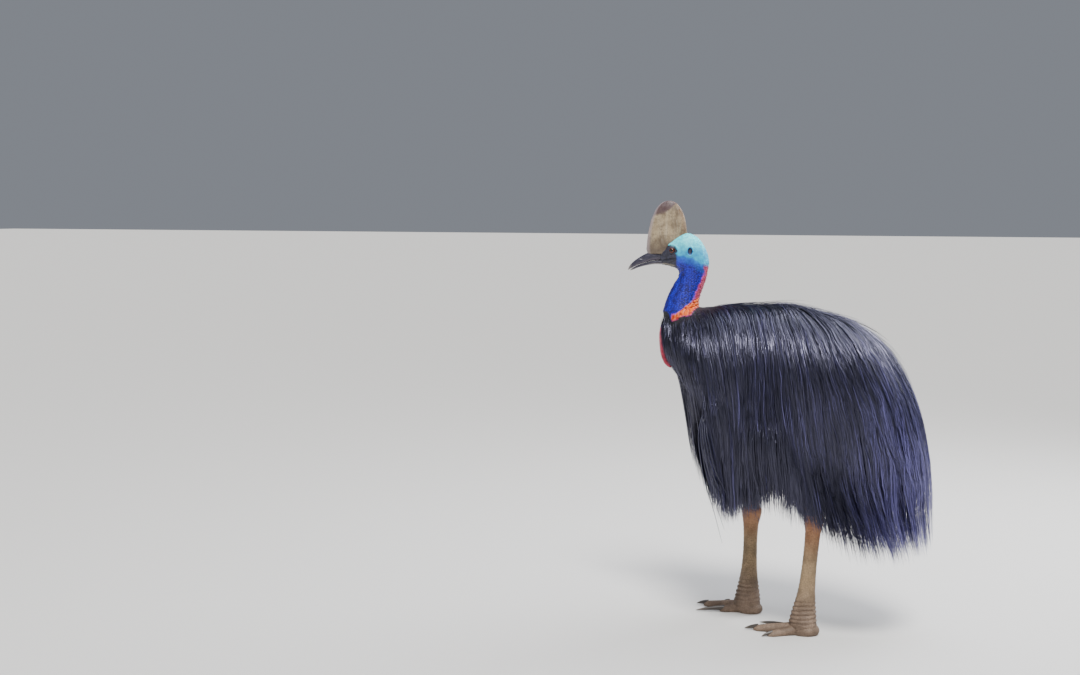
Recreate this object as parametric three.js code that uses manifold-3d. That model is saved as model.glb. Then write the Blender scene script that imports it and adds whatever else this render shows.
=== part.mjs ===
// A life-size southern cassowary, standing with one leg set back and its head turned a little to its left.
// Millimetres, +Z up. The bird faces -Y and its left side is at +X. The origin is on the floor, under the
// middle of the bird's bounding box.
import * as THREE from "three";
import { mergeVertices } from "three/addons/utils/BufferGeometryUtils.js";
import Module from "manifold-3d";

const wasm = await Module();
wasm.setup();

// Driving dimensions

// Every place below is measured from between the feet. The whole bird is then moved back by this much, so
// that the origin is under the middle of its bounding box.
const MOVED_BACK = 10;

// The gap kept between two touching pieces.
const GAP = 0.35;
// Edges shorter than this are closed up after a cut.
const SHORT_EDGE = 0.05;
// The trunk under its coat, as blended ellipsoids: centre and half sizes.
const TRUNK = [
  { at: [0, -10, 818], half: [165, 285, 215] },
  { at: [0, 174, 768], half: [142, 202, 204] },
  { at: [0, -170, 842], half: [124, 142, 170] },
];
const TRUNK_BLEND = 70;
// The spine line that the coat parts on, and the height that its rows fan out from.
const SPINE_FRONT = -170;
const SPINE_BACK = 170;
const SPINE_HEIGHT = 815;
// The head is turned to the bird's left by this angle, about the point midway between the eyes.
const HEAD_TURN = THREE.MathUtils.degToRad(19);
const EYES_AT = [3.5, -370, 1201];
const EYE_RADIUS = 11.5;
const EYE_OUT = 25;
const LEG_SPREAD = 90;
// The feathers of a thigh fill a sleeve this thick, which hangs a little past its lower end.
const SLEEVE = 16;
const SLEEVE_DROP = 48;

const MATERIALS = {
  plumage: { color: 0x0d0d16, roughness: 0.42 },
  blueSkin: { color: 0x1b2fc4, roughness: 0.5 },
  paleSkin: { color: 0x4fc3de, roughness: 0.5 },
  wattle: { color: 0xb0283c, roughness: 0.5 },
  casque: { color: 0x8b7d68, roughness: 0.55 },
  bill: { color: 0x24222b, roughness: 0.4 },
  eye: { color: 0x2a0d08, roughness: 0.1 },
  legScale: { color: 0x97734a, roughness: 0.65 },
  claw: { color: 0x2a2622, roughness: 0.45 },
  quill: { color: 0x101018, roughness: 0.25 },
};

// Small helpers

const vec = (a) => new THREE.Vector3(...a);

// A repeatable random number source.
function seeded(seed) {
  let state = seed >>> 0;
  return () => {
    state = (state + 0x6d2b79f5) >>> 0;
    let t = state;
    t = Math.imul(t ^ (t >>> 15), t | 1);
    t ^= t + Math.imul(t ^ (t >>> 7), t | 61);
    return ((t ^ (t >>> 14)) >>> 0) / 4294967296;
  };
}

// The value at x of straight lines through a table of [x, y] rows.
function along(table, x) {
  if (x <= table[0][0]) return table[0][1];
  for (let i = 1; i < table.length; i += 1) {
    const [x0, y0] = table[i - 1];
    const [x1, y1] = table[i];
    if (x <= x1) return y0 + ((y1 - y0) * (x - x0)) / (x1 - x0);
  }
  return table[table.length - 1][1];
}

// A closed three.js geometry as a solid. Triangles that a pinched end collapsed are dropped.
function solidOf(geometry) {
  geometry.deleteAttribute("normal");
  geometry.deleteAttribute("uv");
  const merged = mergeVertices(geometry, 1e-3);
  const kept = [];
  const index = merged.index.array;
  for (let i = 0; i < index.length; i += 3) {
    const [a, b, c] = [index[i], index[i + 1], index[i + 2]];
    if (a !== b && b !== c && c !== a) kept.push(a, b, c);
  }
  const build = (triVerts) =>
    new wasm.Manifold(
      new wasm.Mesh({
        numProp: 3,
        vertProperties: merged.attributes.position.array,
        triVerts,
      }),
    );
  const made = build(new Uint32Array(kept));
  if (made.volume() >= 0) return made;
  return build(new Uint32Array(kept.reverse()));
}

// A closed body swept through sections, each a centre with two half axes. A section may be pinched.
function sweep(sections, sides) {
  return solidOf(sweptGeometry(sections, sides));
}

function sweptGeometry(sections, sides) {
  const last = sections.length - 1;
  const geometry = new THREE.CylinderGeometry(1, 1, 1, sides, last);
  const position = geometry.getAttribute("position");
  const at = new THREE.Vector3();
  for (let i = 0; i < position.count; i += 1) {
    const [x, y, z] = [position.getX(i), position.getY(i), position.getZ(i)];
    const section = sections[Math.round((0.5 - y) * last)];
    at.copy(section.centre);
    at.addScaledVector(section.side, x).addScaledVector(section.front, z);
    position.setXYZ(i, at.x, at.y, at.z);
  }
  return geometry;
}

// A thin blade with a ridge in front and a flat back. The back's squares are split the way the front's are,
// so that a bend or twist never makes the two faces cross.
function blade(sections) {
  const geometry = sweptGeometry(sections, 3);
  const index = geometry.index.array;
  const bands = sections.length - 1;
  for (let i = 6 * bands; i < 12 * bands; i += 6) {
    const [a, b, d, c] = [index[i], index[i + 1], index[i + 2], index[i + 4]];
    index.set([a, b, c, a, c, d], i);
  }
  return solidOf(geometry);
}

// A ball stretched to three half sizes, turned about Z.
function ball(centre, half, turn = 0, around = 12, rows = 8) {
  const geometry = new THREE.SphereGeometry(1, around, rows);
  geometry.scale(...half).rotateZ(turn).translate(...centre);
  return solidOf(geometry);
}

function joined(solids) {
  return wasm.Manifold.union(solids);
}

// Only the largest closed body, without the scraps and the very short edges that a cut leaves.
function largest(solid) {
  const bodies = solid.decompose();
  const body = bodies.reduce((a, b) => (b.volume() > a.volume() ? b : a));
  return body.simplify(SHORT_EDGE);
}

// Distances in the trunk, the thighs and the neck

function ellipsoidDistance(p, { at, half }) {
  let k0 = 0;
  let k1 = 0;
  for (let i = 0; i < 3; i += 1) {
    const d = p[i] - at[i];
    k0 += (d / half[i]) ** 2;
    k1 += (d / half[i] ** 2) ** 2;
  }
  k0 = Math.sqrt(k0);
  return k1 > 0 ? (k0 * (k0 - 1)) / Math.sqrt(k1) : -Math.min(...half);
}

function blendedLeast(a, b, width) {
  const h = Math.max(width - Math.abs(a - b), 0) / width;
  return Math.min(a, b) - (h * h * width) / 4;
}

function trunkDistance(p) {
  return TRUNK.map((e) => ellipsoidDistance(p, e)).reduce((a, b) => blendedLeast(a, b, TRUNK_BLEND));
}

// A chain of balls joined by cones: rows of [x, y, z, radius].
function chainDistance(p, chain) {
  let least = Infinity;
  for (let i = 1; i < chain.length; i += 1) {
    const [a, b] = [chain[i - 1], chain[i]];
    const ab = [b[0] - a[0], b[1] - a[1], b[2] - a[2]];
    const ap = [p[0] - a[0], p[1] - a[1], p[2] - a[2]];
    const length2 = ab[0] ** 2 + ab[1] ** 2 + ab[2] ** 2;
    const t = THREE.MathUtils.clamp((ap[0] * ab[0] + ap[1] * ab[1] + ap[2] * ab[2]) / length2, 0, 1);
    const away = Math.hypot(ap[0] - t * ab[0], ap[1] - t * ab[1], ap[2] - t * ab[2]);
    least = Math.min(least, away - (a[3] + t * (b[3] - a[3])));
  }
  return least;
}

function slope(distance, p) {
  const step = 2;
  const n = [0, 1, 2].map((i) => {
    const [more, less] = [[...p], [...p]];
    more[i] += step;
    less[i] -= step;
    return distance(more) - distance(less);
  });
  return vec(n).normalize();
}

// The first point outward from a start, along a direction, where a distance reaches a level.
function surfaceAlong(distance, start, direction, level = 0) {
  let [near, far] = [0, 520];
  for (let i = 0; i < 40; i += 1) {
    const middle = (near + far) / 2;
    const p = start.map((v, k) => v + direction[k] * middle);
    if (distance(p) < level) near = middle;
    else far = middle;
  }
  return start.map((v, k) => v + direction[k] * near);
}

// Legs: the feathered thigh, the bare shank and the foot. Each leg is rows of [x, y, z, radius].

const LEGS = {
  left: {
    side: 1,
    thigh: [
      [76, -12, 655, 86],
      [83, 50, 535, 64],
      [89, 112, 425, 41],
      [LEG_SPREAD, 132, 384, 33],
    ],
    shank: [
      [LEG_SPREAD, 134, 402, 25, 27],
      [LEG_SPREAD, 136, 380, 27, 31],
      [LEG_SPREAD, 135, 356, 25, 28],
      [LEG_SPREAD, 132, 325, 20, 23],
      [LEG_SPREAD, 127, 268, 19, 21.5],
      [LEG_SPREAD, 121, 205, 19.5, 22],
      [LEG_SPREAD, 116, 150, 22, 25],
      [LEG_SPREAD, 111, 104, 27, 31],
      [LEG_SPREAD, 106, 62, 33, 38],
    ],
    foot: [LEG_SPREAD, 104, 0],
    turn: THREE.MathUtils.degToRad(7),
  },
  right: {
    side: -1,
    thigh: [
      [-76, -116, 655, 86],
      [-83, -128, 525, 64],
      [-88, -124, 400, 42],
      [-LEG_SPREAD, -119, 352, 33],
    ],
    shank: [
      [-LEG_SPREAD, -118, 370, 25, 27],
      [-LEG_SPREAD, -117, 348, 27, 31],
      [-LEG_SPREAD, -118, 324, 26, 29],
      [-LEG_SPREAD, -120, 295, 21, 24],
      [-LEG_SPREAD, -121, 246, 19, 21.5],
      [-LEG_SPREAD, -122, 196, 19.5, 22],
      [-LEG_SPREAD, -124, 146, 22, 25],
      [-LEG_SPREAD, -126, 102, 27, 31],
      [-LEG_SPREAD, -128, 62, 33, 38],
    ],
    foot: [-LEG_SPREAD, -130, 0],
    turn: THREE.MathUtils.degToRad(-7),
  },
};

// A leg's thigh as level sections, and the sleeve round it that its feathers fill.
function thighSections(leg, grow = 0) {
  const rows = leg.thigh.map(([x, y, z, r]) => [x, y, z, r + grow]);
  const [x, y, z, r] = rows[rows.length - 1];
  if (grow > 0) rows.push([x, y, z - SLEEVE_DROP, r + 3]);
  return rows.map(([cx, cy, cz, radius]) => ({
    centre: new THREE.Vector3(cx, cy, cz),
    side: new THREE.Vector3(radius, 0, 0),
    front: new THREE.Vector3(0, radius, 0),
  }));
}

// The neck and head, as sections between a front and a back point of the profile, with a half width.

const headForward = new THREE.Vector3(Math.sin(HEAD_TURN), -Math.cos(HEAD_TURN), 0);
const headLeft = new THREE.Vector3(Math.cos(HEAD_TURN), Math.sin(HEAD_TURN), 0);

// A point of the head: forward of the eyes, up from them, and out to the bird's left.
function headPoint(forward, up, left = 0) {
  return vec(EYES_AT)
    .addScaledVector(headForward, forward)
    .addScaledVector(headLeft, left)
    .add(new THREE.Vector3(0, 0, up));
}

// Rows of [forward, up] at the throat side, [forward, up] at the crown side, and half width.
const HEAD_PROFILE = [
  [[37, -45], [40, 3], 15],
  [[22, -48], [26, 19], 22],
  [[4, -52], [4, 36], 30],
  [[-12, -57], [-22, 49], 36],
  [[-19, -62], [-52, 55], 40],
  [[-23, -70], [-84, 40], 42],
  [[-24, -77], [-107, 8], 42.5],
  [[-21, -84], [-119, -27], 42],
];
const HEAD_SIDES = 16;
const BILL_SIDES = 12;
const CARUNCLES = 14;
const WATTLE_OUT = 11.8;
// The wing stub, as rows of [x, y, z, radius], and how many quills it carries.
const WING_STUB = [
  [120, -118, 806, 22],
  [143, -148, 772, 28],
  [151, -182, 724, 22],
  [152, -204, 684, 12],
  [153, -209, 670, 0],
];
const QUILLS = 5;
// Rows of [y, z] at the front, [y, z] at the back, half width and x.
const BARE_NECK = [
  [[-350, 1112], [-260, 1146], 41, -18],
  [[-365, 1090], [-265, 1112], 40.5, -16],
  [[-379, 1063], [-274, 1080], 41, -12],
  [[-392, 1030], [-284, 1046], 43, -7],
  [[-401, 997], [-287, 1010], 47, -3],
];
const FEATHERED_NECK = [
  [[-397, 1001], [-289, 1014], 44, -3],
  [[-404, 986], [-285, 1003], 49.5, -2],
  [[-407, 952], [-276, 1003], 56, -1],
  [[-398, 910], [-260, 1005], 70, 0],
  [[-379, 862], [-238, 1012], 88, 0],
  [[-346, 795], [-200, 1020], 106, 0],
  [[-270, 735], [-110, 1020], 116, 0],
];

// A section between two points of a profile, with a half width to the bird's left.
function section(front, back, halfWidth, left) {
  const centre = front.clone().add(back).multiplyScalar(0.5);
  return {
    centre,
    side: left.clone().multiplyScalar(halfWidth),
    front: front.clone().sub(centre),
  };
}

function headSections() {
  return HEAD_PROFILE.map(([low, high, half]) =>
    section(headPoint(...low), headPoint(...high), half, headLeft),
  );
}

// The neck's top is turned with the head, and the turn dies out towards its foot.
function neckSections(rows, turned = 0) {
  return rows.map(([front, back, half, x], i) => {
    const turn = turned * (1 - i / (rows.length - 1));
    const left = new THREE.Vector3(Math.cos(turn), Math.sin(turn), 0);
    const aside = (Math.tan(turn) * (back[0] - front[0])) / 2;
    return section(new THREE.Vector3(x + aside, ...front), new THREE.Vector3(x - aside, ...back), half, left);
  });
}

// The same sections, larger all round and at both ends. A pinched end stays pinched.
function outset(sections, by) {
  const longer = (v) => (v.length() > 0 ? v.clone().setLength(v.length() + by) : v.clone());
  const grown = sections.map(({ centre, side, front }) => ({
    centre: centre.clone(),
    side: longer(side),
    front: longer(front),
  }));
  const push = (end, next) => end.centre.add(end.centre.clone().sub(next.centre).setLength(by));
  push(grown[0], sections[1]);
  push(grown[grown.length - 1], sections[sections.length - 2]);
  return grown;
}

// Coat: rows of locks that fan out from the spine line

const HEM = [
  [-330, 600],
  [-300, 540],
  [-262, 470],
  [-215, 400],
  [-150, 350],
  [-60, 385],
  [0, 410],
  [80, 385],
  [160, 352],
  [215, 300],
  [280, 262],
  [400, 266],
  [470, 290],
  [505, 370],
];
// Rows of [elevation in degrees, locks, longest lock].
const COAT_ROWS = [
  [84, 12, 240],
  [66, 17, 310],
  [45, 22, 370],
  [24, 25, 420],
  [3, 26, 470],
  [-18, 25, 480],
  [-40, 18, 440],
];
const LOCK_HALF_WIDTH = 26;
const LOCK_HALF_DEPTH = 3.4;
const LOCK_STEPS = 4;
const FINE_STEPS = 24;
const SHORTEST_LOCK = 60;
const LOCK_SINK = 9;

// How far the coat leans back for each step down, by how far back it grows.
const LEAN = [
  [-300, 0.34],
  [-200, 0.26],
  [-110, 0.08],
  [0, 0.06],
  [120, 0.16],
  [250, 0.32],
  [400, 0.38],
  [440, 0.33],
  [468, 0.24],
  [488, 0.06],
  [500, -0.2],
];

// Round the spine line once: a start on the line and a level direction, for a share of the turn from 0 to 1.
function aroundSpine(share) {
  const length = SPINE_BACK - SPINE_FRONT;
  const bend = Math.PI * 150;
  const total = 2 * (length + bend);
  let s = (((share % 1) + 1) % 1) * total;
  if (s < length) return { y: SPINE_FRONT + s, direction: [1, 0] };
  s -= length;
  if (s < bend) {
    const angle = (s / bend) * Math.PI;
    return { y: SPINE_BACK, direction: [Math.cos(angle), Math.sin(angle)] };
  }
  s -= bend;
  if (s < length) return { y: SPINE_BACK - s, direction: [-1, 0] };
  s -= length;
  const angle = (s / bend) * Math.PI;
  return { y: SPINE_FRONT, direction: [-Math.cos(angle), -Math.sin(angle)] };
}

// The way that the coat hangs at a point: down, out from the spine on top, and back over the rump.
function lie(p, normal) {
  const facingUp = Math.max(normal.z, 0);
  const back = along(LEAN, p[1]) * THREE.MathUtils.smoothstep(normal.z, -1.1, 0.1);
  const out = THREE.MathUtils.clamp(p[0] / 50, -1, 1) * 0.55 * facingUp;
  return new THREE.Vector3(out, back + 0.35 * facingUp, -1).normalize();
}

function coatObstacle(p) {
  const legs = Object.values(LEGS).map(({ thigh }) => chainDistance(p, thigh) - SLEEVE - 6);
  return Math.min(trunkDistance(p), ...legs);
}

// The path of one lock over the trunk, down to the hem: its points, and the outward direction at each.
function lockPath(root, longest, lift, random) {
  const hem = random() * 26;
  const p = root.toArray();
  let normal = slope(trunkDistance, p);
  let heading = lie(p, normal);
  const fine = [{ at: vec(p).addScaledVector(normal, -LOCK_SINK), normal }];
  for (let i = 1; i <= FINE_STEPS; i += 1) {
    normal = slope(coatObstacle, p);
    heading.multiplyScalar(0.6).addScaledVector(lie(p, normal), 0.4).normalize();
    const next = vec(p).addScaledVector(heading, longest / FINE_STEPS);
    const wanted = -LOCK_SINK + (lift + LOCK_SINK) * (i / FINE_STEPS);
    const q = next.toArray();
    const short = wanted - coatObstacle(q);
    if (short > 0) next.addScaledVector(slope(coatObstacle, q), short);
    heading = next.clone().sub(vec(p)).normalize();
    next.toArray(p);
    fine.push({ at: next, normal });
    if (p[2] < along(HEM, p[1]) + hem) break;
  }
  const steps = fine.length > FINE_STEPS * 0.7 ? LOCK_STEPS : LOCK_STEPS - 1;
  return Array.from({ length: steps + 1 }, (_, k) => fine[Math.round((k * (fine.length - 1)) / steps)]);
}

// One flat, tapered lock along a path.
function lockSolid(path, halfWidth, halfDepth) {
  const last = path.length - 1;
  const sections = path.map(({ at, normal }, i) => {
    const share = i / last;
    const ahead = path[Math.min(i + 1, last)].at.clone().sub(path[Math.max(i - 1, 0)].at);
    const side = normal.clone().cross(ahead).normalize();
    const out = ahead.clone().cross(side).normalize();
    const width = i === last ? 0 : halfWidth * (0.72 + 0.5 * share - 1.05 * share ** 2.2);
    const depth = i === last ? 0 : halfDepth * (1 - 0.6 * share);
    return {
      centre: at.clone(),
      side: side.multiplyScalar(width),
      front: out.multiplyScalar(depth),
    };
  });
  return blade(sections);
}

function coatSolid() {
  const random = seeded(11);
  const locks = [];
  COAT_ROWS.forEach(([elevation, count, longest], row) => {
    const tilt = THREE.MathUtils.degToRad(elevation);
    for (let i = 0; i < count; i += 1) {
      const { y, direction } = aroundSpine((i + (row % 2) / 2 + 0.3 * (random() - 0.5)) / count);
      const ray = [direction[0] * Math.cos(tilt), direction[1] * Math.cos(tilt), Math.sin(tilt)];
      const root = surfaceAlong(trunkDistance, [0, y, SPINE_HEIGHT], ray);
      if (chainDistance(root, NECK_ROOT) < 12) continue;
      const back = THREE.MathUtils.smoothstep(root[1], 120, 320);
      const front = THREE.MathUtils.smoothstep(-root[1], 130, 270);
      const length = longest * (0.9 + 0.2 * random()) * (1 + 0.25 * back);
      const lift = 30 + 7 * random() + 16 * back - 14 * front;
      const path = lockPath(vec(root), length, lift, random);
      if (path[0].at.distanceTo(path[path.length - 1].at) < SHORTEST_LOCK) continue;
      locks.push(lockSolid(path, LOCK_HALF_WIDTH * (0.85 + 0.3 * random()), LOCK_HALF_DEPTH));
    }
  });
  return joined(locks);
}

// Where the neck leaves the trunk, as a chain of balls.
const NECK_ROOT = [
  [0, -215, 880, 118],
  [0, -290, 905, 96],
  [0, -340, 955, 66],
];

// The trunk as a closed surface, grown by a level.
function trunkCore(level = 0) {
  const geometry = new THREE.SphereGeometry(1, 24, 16);
  geometry.rotateX(Math.PI / 2);
  const position = geometry.getAttribute("position");
  for (let i = 0; i < position.count; i += 1) {
    const direction = new THREE.Vector3().fromBufferAttribute(position, i);
    direction.y *= 1.7;
    direction.normalize();
    const at = surfaceAlong(trunkDistance, [0, 20, 785], direction.toArray(), level);
    position.setXYZ(i, ...at);
  }
  return solidOf(geometry);
}

// Rows of locks on a thigh: height of the roots, locks, length.
const THIGH_ROWS = [
  [500, 7, 130],
  [436, 7, 94],
];
const THIGH_SIDES = 12;
const SHANK_SIDES = 10;

// Feet

const TOES = {
  middle: { turn: 0, length: 150, width: 17, height: 27, claw: 44, clawRadius: 9 },
  outer: { turn: 31, length: 112, width: 14.5, height: 24, claw: 36, clawRadius: 8 },
  inner: { turn: -29, length: 84, width: 15, height: 26, claw: 96, clawRadius: 9.5 },
};
// The ball of the foot, and the ankle as rows of [z, half width, half depth].
const PAD = { back: 6, up: 14, half: [37, 46, 26] };
const ANKLE = [
  [84, 30, 34],
  [58, 35, 40],
  [30, 38, 44],
  [4, 34, 40],
];
const ANKLE_SIDES = 12;

// The direction of a toe on the floor.
function toeDirection(leg, turn) {
  const angle = leg.turn + leg.side * THREE.MathUtils.degToRad(turn);
  return new THREE.Vector3(Math.sin(angle), -Math.cos(angle), 0);
}

// One toe: scaled bands step down towards the claw.
function toeSolid(leg, toe) {
  const ahead = toeDirection(leg, toe.turn);
  const across = new THREE.Vector3(0, 0, 1).cross(ahead);
  const bands = 3;
  const sections = [];
  const add = (forward, width, top) => {
    const centre = vec(leg.foot).addScaledVector(ahead, forward);
    centre.z = top / 2 - 2;
    sections.push({
      centre,
      side: across.clone().multiplyScalar(width),
      front: new THREE.Vector3(0, 0, top / 2 + 2),
    });
  };
  add(-8, toe.width * 1.1, 46);
  for (let i = 0; i < bands; i += 1) {
    const share = i / bands;
    const swell = 1 + 0.08 * Math.sin(share * Math.PI * 3);
    const top = toe.height * (1.5 - 0.75 * share);
    const start = 20 + (toe.length - 20) * share;
    const end = 20 + (toe.length - 20) * ((i + 0.9) / bands);
    add(start, toe.width * swell, top);
    add(end, toe.width * swell * 0.97, top - toe.height * 0.04);
  }
  add(toe.length, toe.width * 0.78, toe.height * 0.66);
  add(toe.length + 7, 0, 0);
  return sweep(sections, 7);
}

// A curved claw that leaves the toe's end, grown by an amount.
function clawSolid(leg, toe, grow = 0) {
  const ahead = toeDirection(leg, toe.turn);
  const across = new THREE.Vector3(0, 0, 1).cross(ahead);
  const steps = 5;
  const sections = [];
  for (let i = 0; i <= steps; i += 1) {
    const share = i / steps;
    const centre = vec(leg.foot).addScaledVector(ahead, toe.length - 9 - grow + toe.claw * share);
    const radius = i === steps ? 0 : toe.clawRadius * (1 - share) ** 0.62 + grow;
    centre.z = Math.max(toe.clawRadius + 3 - 9 * share ** 2, radius * 1.05 + 0.2);
    sections.push({
      centre,
      side: across.clone().multiplyScalar(radius * 0.85),
      front: new THREE.Vector3(0, 0, radius),
    });
  }
  return sweep(sections, 6);
}

// The bare shank: raised scutes step down its front.
function shankSections(leg) {
  const sections = [];
  const rings = leg.shank;
  const scutes = 11;
  const [top, bottom] = [rings[0][2], rings[rings.length - 1][2]];
  const column = (k) => rings.map((r) => [-r[2], r[k]]);
  const [ys, widths, depths] = [column(1), column(3), column(4)];
  const add = (z, step) => {
    const [y, w, d] = [along(ys, -z), along(widths, -z), along(depths, -z)];
    sections.push({
      centre: new THREE.Vector3(rings[0][0], y - step * 0.6, z),
      side: new THREE.Vector3(w + step * 0.2, 0, 0),
      front: new THREE.Vector3(0, d + step * 0.5, 0),
    });
  };
  for (let i = 0; i < scutes; i += 1) {
    const z = top + ((bottom - top) * i) / scutes;
    const plate = i > 0 ? 2.2 : 0;
    add(z - 0.4, plate * 0.2);
    add(z + ((bottom - top) / scutes) * 0.92, plate);
  }
  add(bottom, 0);
  return sections;
}

function footSolid(leg) {
  const toes = Object.values(TOES).map((toe) => toeSolid(leg, toe));
  const padCentre = [leg.foot[0], leg.foot[1] + PAD.back, PAD.up];
  const pad = ball(padCentre, PAD.half, leg.turn, ANKLE_SIDES, 6);
  const ankle = sweep(
    ANKLE.map(([z, w, d]) => ({
      centre: vec(leg.foot).setZ(z),
      side: new THREE.Vector3(w, 0, 0),
      front: new THREE.Vector3(0, d, 0),
    })),
    ANKLE_SIDES,
  );
  let foot = joined([...toes, pad, ankle]);
  foot = foot.subtract(sweep(outset(shankSections(leg), GAP), SHANK_SIDES));
  Object.values(TOES).forEach((toe) => {
    foot = foot.subtract(clawSolid(leg, toe, GAP));
  });
  return largest(foot.trimByPlane([0, 0, 1], 0));
}

function thighSleeve(leg, grow) {
  return sweep(thighSections(leg, grow), THIGH_SIDES);
}

// A thigh: its core, with locks that hang over the top of the bare shank.
function thighSolid(leg) {
  const random = seeded(leg.side > 0 ? 5 : 6);
  const pieces = [thighSleeve(leg, 0)];
  const chain = leg.thigh;
  THIGH_ROWS.forEach(([height, count, length], row) => {
    for (let i = 0; i < count; i += 1) {
      const angle = ((i + row / 2 + 0.3 * random()) / count) * 2 * Math.PI;
      const z = leg.side > 0 ? height : height - 22;
      const column = (k) => chain.map((r) => [-r[2], r[k]]);
      const path = [];
      for (let k = 0; k <= 3; k += 1) {
        const share = k / 3;
        const level = z - length * share;
        const radius = along(column(3), -Math.max(level, chain[3][2])) - 6 + 18 * share;
        const normal = new THREE.Vector3(Math.cos(angle), Math.sin(angle), 0);
        const at = new THREE.Vector3(along(column(0), -level), along(column(1), -level), level);
        path.push({ at: at.addScaledVector(normal, radius), normal });
      }
      pieces.push(lockSolid(path, 20, 3.4));
    }
  });
  const shank = sweep(outset(shankSections(leg), GAP), SHANK_SIDES);
  const inside = thighSleeve(leg, SLEEVE - GAP);
  return largest(joined(pieces).intersect(inside).subtract(trunkCore(GAP)).subtract(shank));
}

// Head

function billSections(rows) {
  return rows.map(([forward, high, low, half]) =>
    section(headPoint(forward, low), headPoint(forward, high), half, headLeft),
  );
}

const UPPER_BILL = [
  [38, 1, -31, 14.5],
  [60, -2, -33.5, 13],
  [84, -11, -39, 10.5],
  [104, -22, -45, 8.5],
  [120, -33, -52, 6.8],
  [134, -45, -59.5, 4.6],
  [144, -65, -65, 0],
];
const LOWER_BILL = [
  [36, -32, -46, 13],
  [60, -34.5, -46, 11.5],
  [88, -41, -51, 8.5],
  [112, -49.5, -57.5, 6.2],
  [129, -58.5, -64.5, 3.8],
  [138, -66, -66, 0],
];
// The helmet in profile, from the base up: rows of [front forward, back forward, up, half width].
const CASQUE = [
  [84, -50, -10, 19],
  [82, -50, 18, 21],
  [79, -49, 46, 20.5],
  [74, -46.5, 76, 18.5],
  [66, -40, 106, 16],
  [55, -30, 132, 13],
  [41, -18, 149, 9],
  [26, -4, 158, 5],
  [12, 12, 161, 0],
];

// The casque stands on the bill's base and the forehead.
function casqueSolid() {
  const sections = CASQUE.map(([front, back, up, half]) =>
    section(headPoint(front, up), headPoint(back, up), half, headLeft),
  );
  return sweep(sections, 14);
}

// A ring of skin on the side of the head: its radius and thickness, and how it is stretched ahead and up.
const LID = { at: [0, 0, 29], radius: 14, thick: 3, ahead: 1, up: 0.86, sides: 11 };
const EAR = { at: [-58, -2, 37.5], radius: 9.5, thick: 2.8, ahead: 0.8, up: 1.3, sides: 9 };
const EAR_HOLE = { at: [-58, -2, 39], half: [9, 6.2, 10.5] };
// The line of the mouth, as rows of [forward, up, out], and its half depth and half height.
const MOUTH = [
  [40, -31.5, 15],
  [22, -30.5, 22],
  [4, -28, 30],
  [-10, -26, 35],
];
const MOUTH_CUT = [3, 1.6];

function skinRing({ at, radius, thick, ahead, up, sides }, side) {
  const geometry = new THREE.TorusGeometry(radius, thick, 5, sides);
  geometry.rotateY(Math.PI / 2).scale(1, ahead, up).rotateZ(HEAD_TURN);
  return solidOf(geometry.translate(...headPoint(at[0], at[1], side * at[2]).toArray()));
}

// The head: lids round each eye, the cup of each ear and the line of the mouth.
function headSolid(eyeSockets) {
  const pieces = [sweep(headSections(), HEAD_SIDES)];
  const cuts = [...eyeSockets];
  for (const side of [1, -1]) {
    pieces.push(skinRing(LID, side), skinRing(EAR, side));
    const [forward, up, out] = EAR_HOLE.at;
    cuts.push(ball(headPoint(forward, up, side * out).toArray(), EAR_HOLE.half, HEAD_TURN, 8, 6));
    const mouth = MOUTH.map(([ahead, high, wide]) => ({
      centre: headPoint(ahead, high, side * wide),
      side: headLeft.clone().multiplyScalar(MOUTH_CUT[0]),
      front: new THREE.Vector3(0, 0, MOUTH_CUT[1]),
    }));
    cuts.push(sweep(mouth, 4));
  }
  let head = joined(pieces);
  cuts.forEach((cut) => {
    head = head.subtract(cut);
  });
  return head;
}

const NOSTRIL = { at: [96, -27, 11], half: [2.6, 7.5, 2] };

function nostrils(bill) {
  const [forward, up, out] = NOSTRIL.at;
  const cuts = [1, -1].map((side) =>
    ball(headPoint(forward, up, side * out).toArray(), NOSTRIL.half, HEAD_TURN, 8, 6),
  );
  return cuts.reduce((solid, cut) => solid.subtract(cut), bill);
}

// The bare neck starts just inside the head, which cuts it off face to face.
function bareNeckSections() {
  const head = headSections();
  const { centre, side, front } = head[head.length - 1];
  const before = head[head.length - 2].centre;
  const inside = {
    centre: centre.clone().lerp(before, 0.25),
    side: side.clone().multiplyScalar(0.95),
    front: front.clone().multiplyScalar(0.95),
  };
  return [inside, ...neckSections(BARE_NECK, HEAD_TURN)];
}

// The orange warts of the hind neck, as small bulbs on the last lengths of the bare neck.
function caruncles(sections, grow = 0) {
  const random = seeded(3);
  const bulbs = [];
  const last = sections.length - 1;
  for (let i = 0; i < CARUNCLES; i += 1) {
    const share = i / (CARUNCLES - 1);
    const angle = THREE.MathUtils.degToRad(82 - 45 * share) * Math.sin(i * 2.4);
    const row = last - 0.3 - 1.25 * share;
    const [low, high] = [sections[Math.ceil(row)], sections[Math.floor(row)]];
    const at = low.centre.clone().lerp(high.centre, Math.ceil(row) - row);
    at.addScaledVector(low.side, 0.95 * Math.sin(angle));
    at.addScaledVector(low.front, -0.95 * Math.cos(angle));
    const radius = 5.5 + 2 * random();
    const geometry = new THREE.IcosahedronGeometry(radius + 1.3 * grow);
    geometry.translate(...at.toArray());
    bulbs.push(solidOf(geometry));
  }
  return bulbs;
}

// A wattle from the top down, as rows of [y, z, half width, half depth].
const WATTLE = [
  [-392, 968, 5, 7],
  [-400, 930, 6.5, 9],
  [-398, 895, 8.5, 10.5],
  [-391, 862, 11, 12],
  [-381, 836, 11.3, 13],
  [-374, 822, 8, 9],
  [-370, 815, 0, 0],
];

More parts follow.
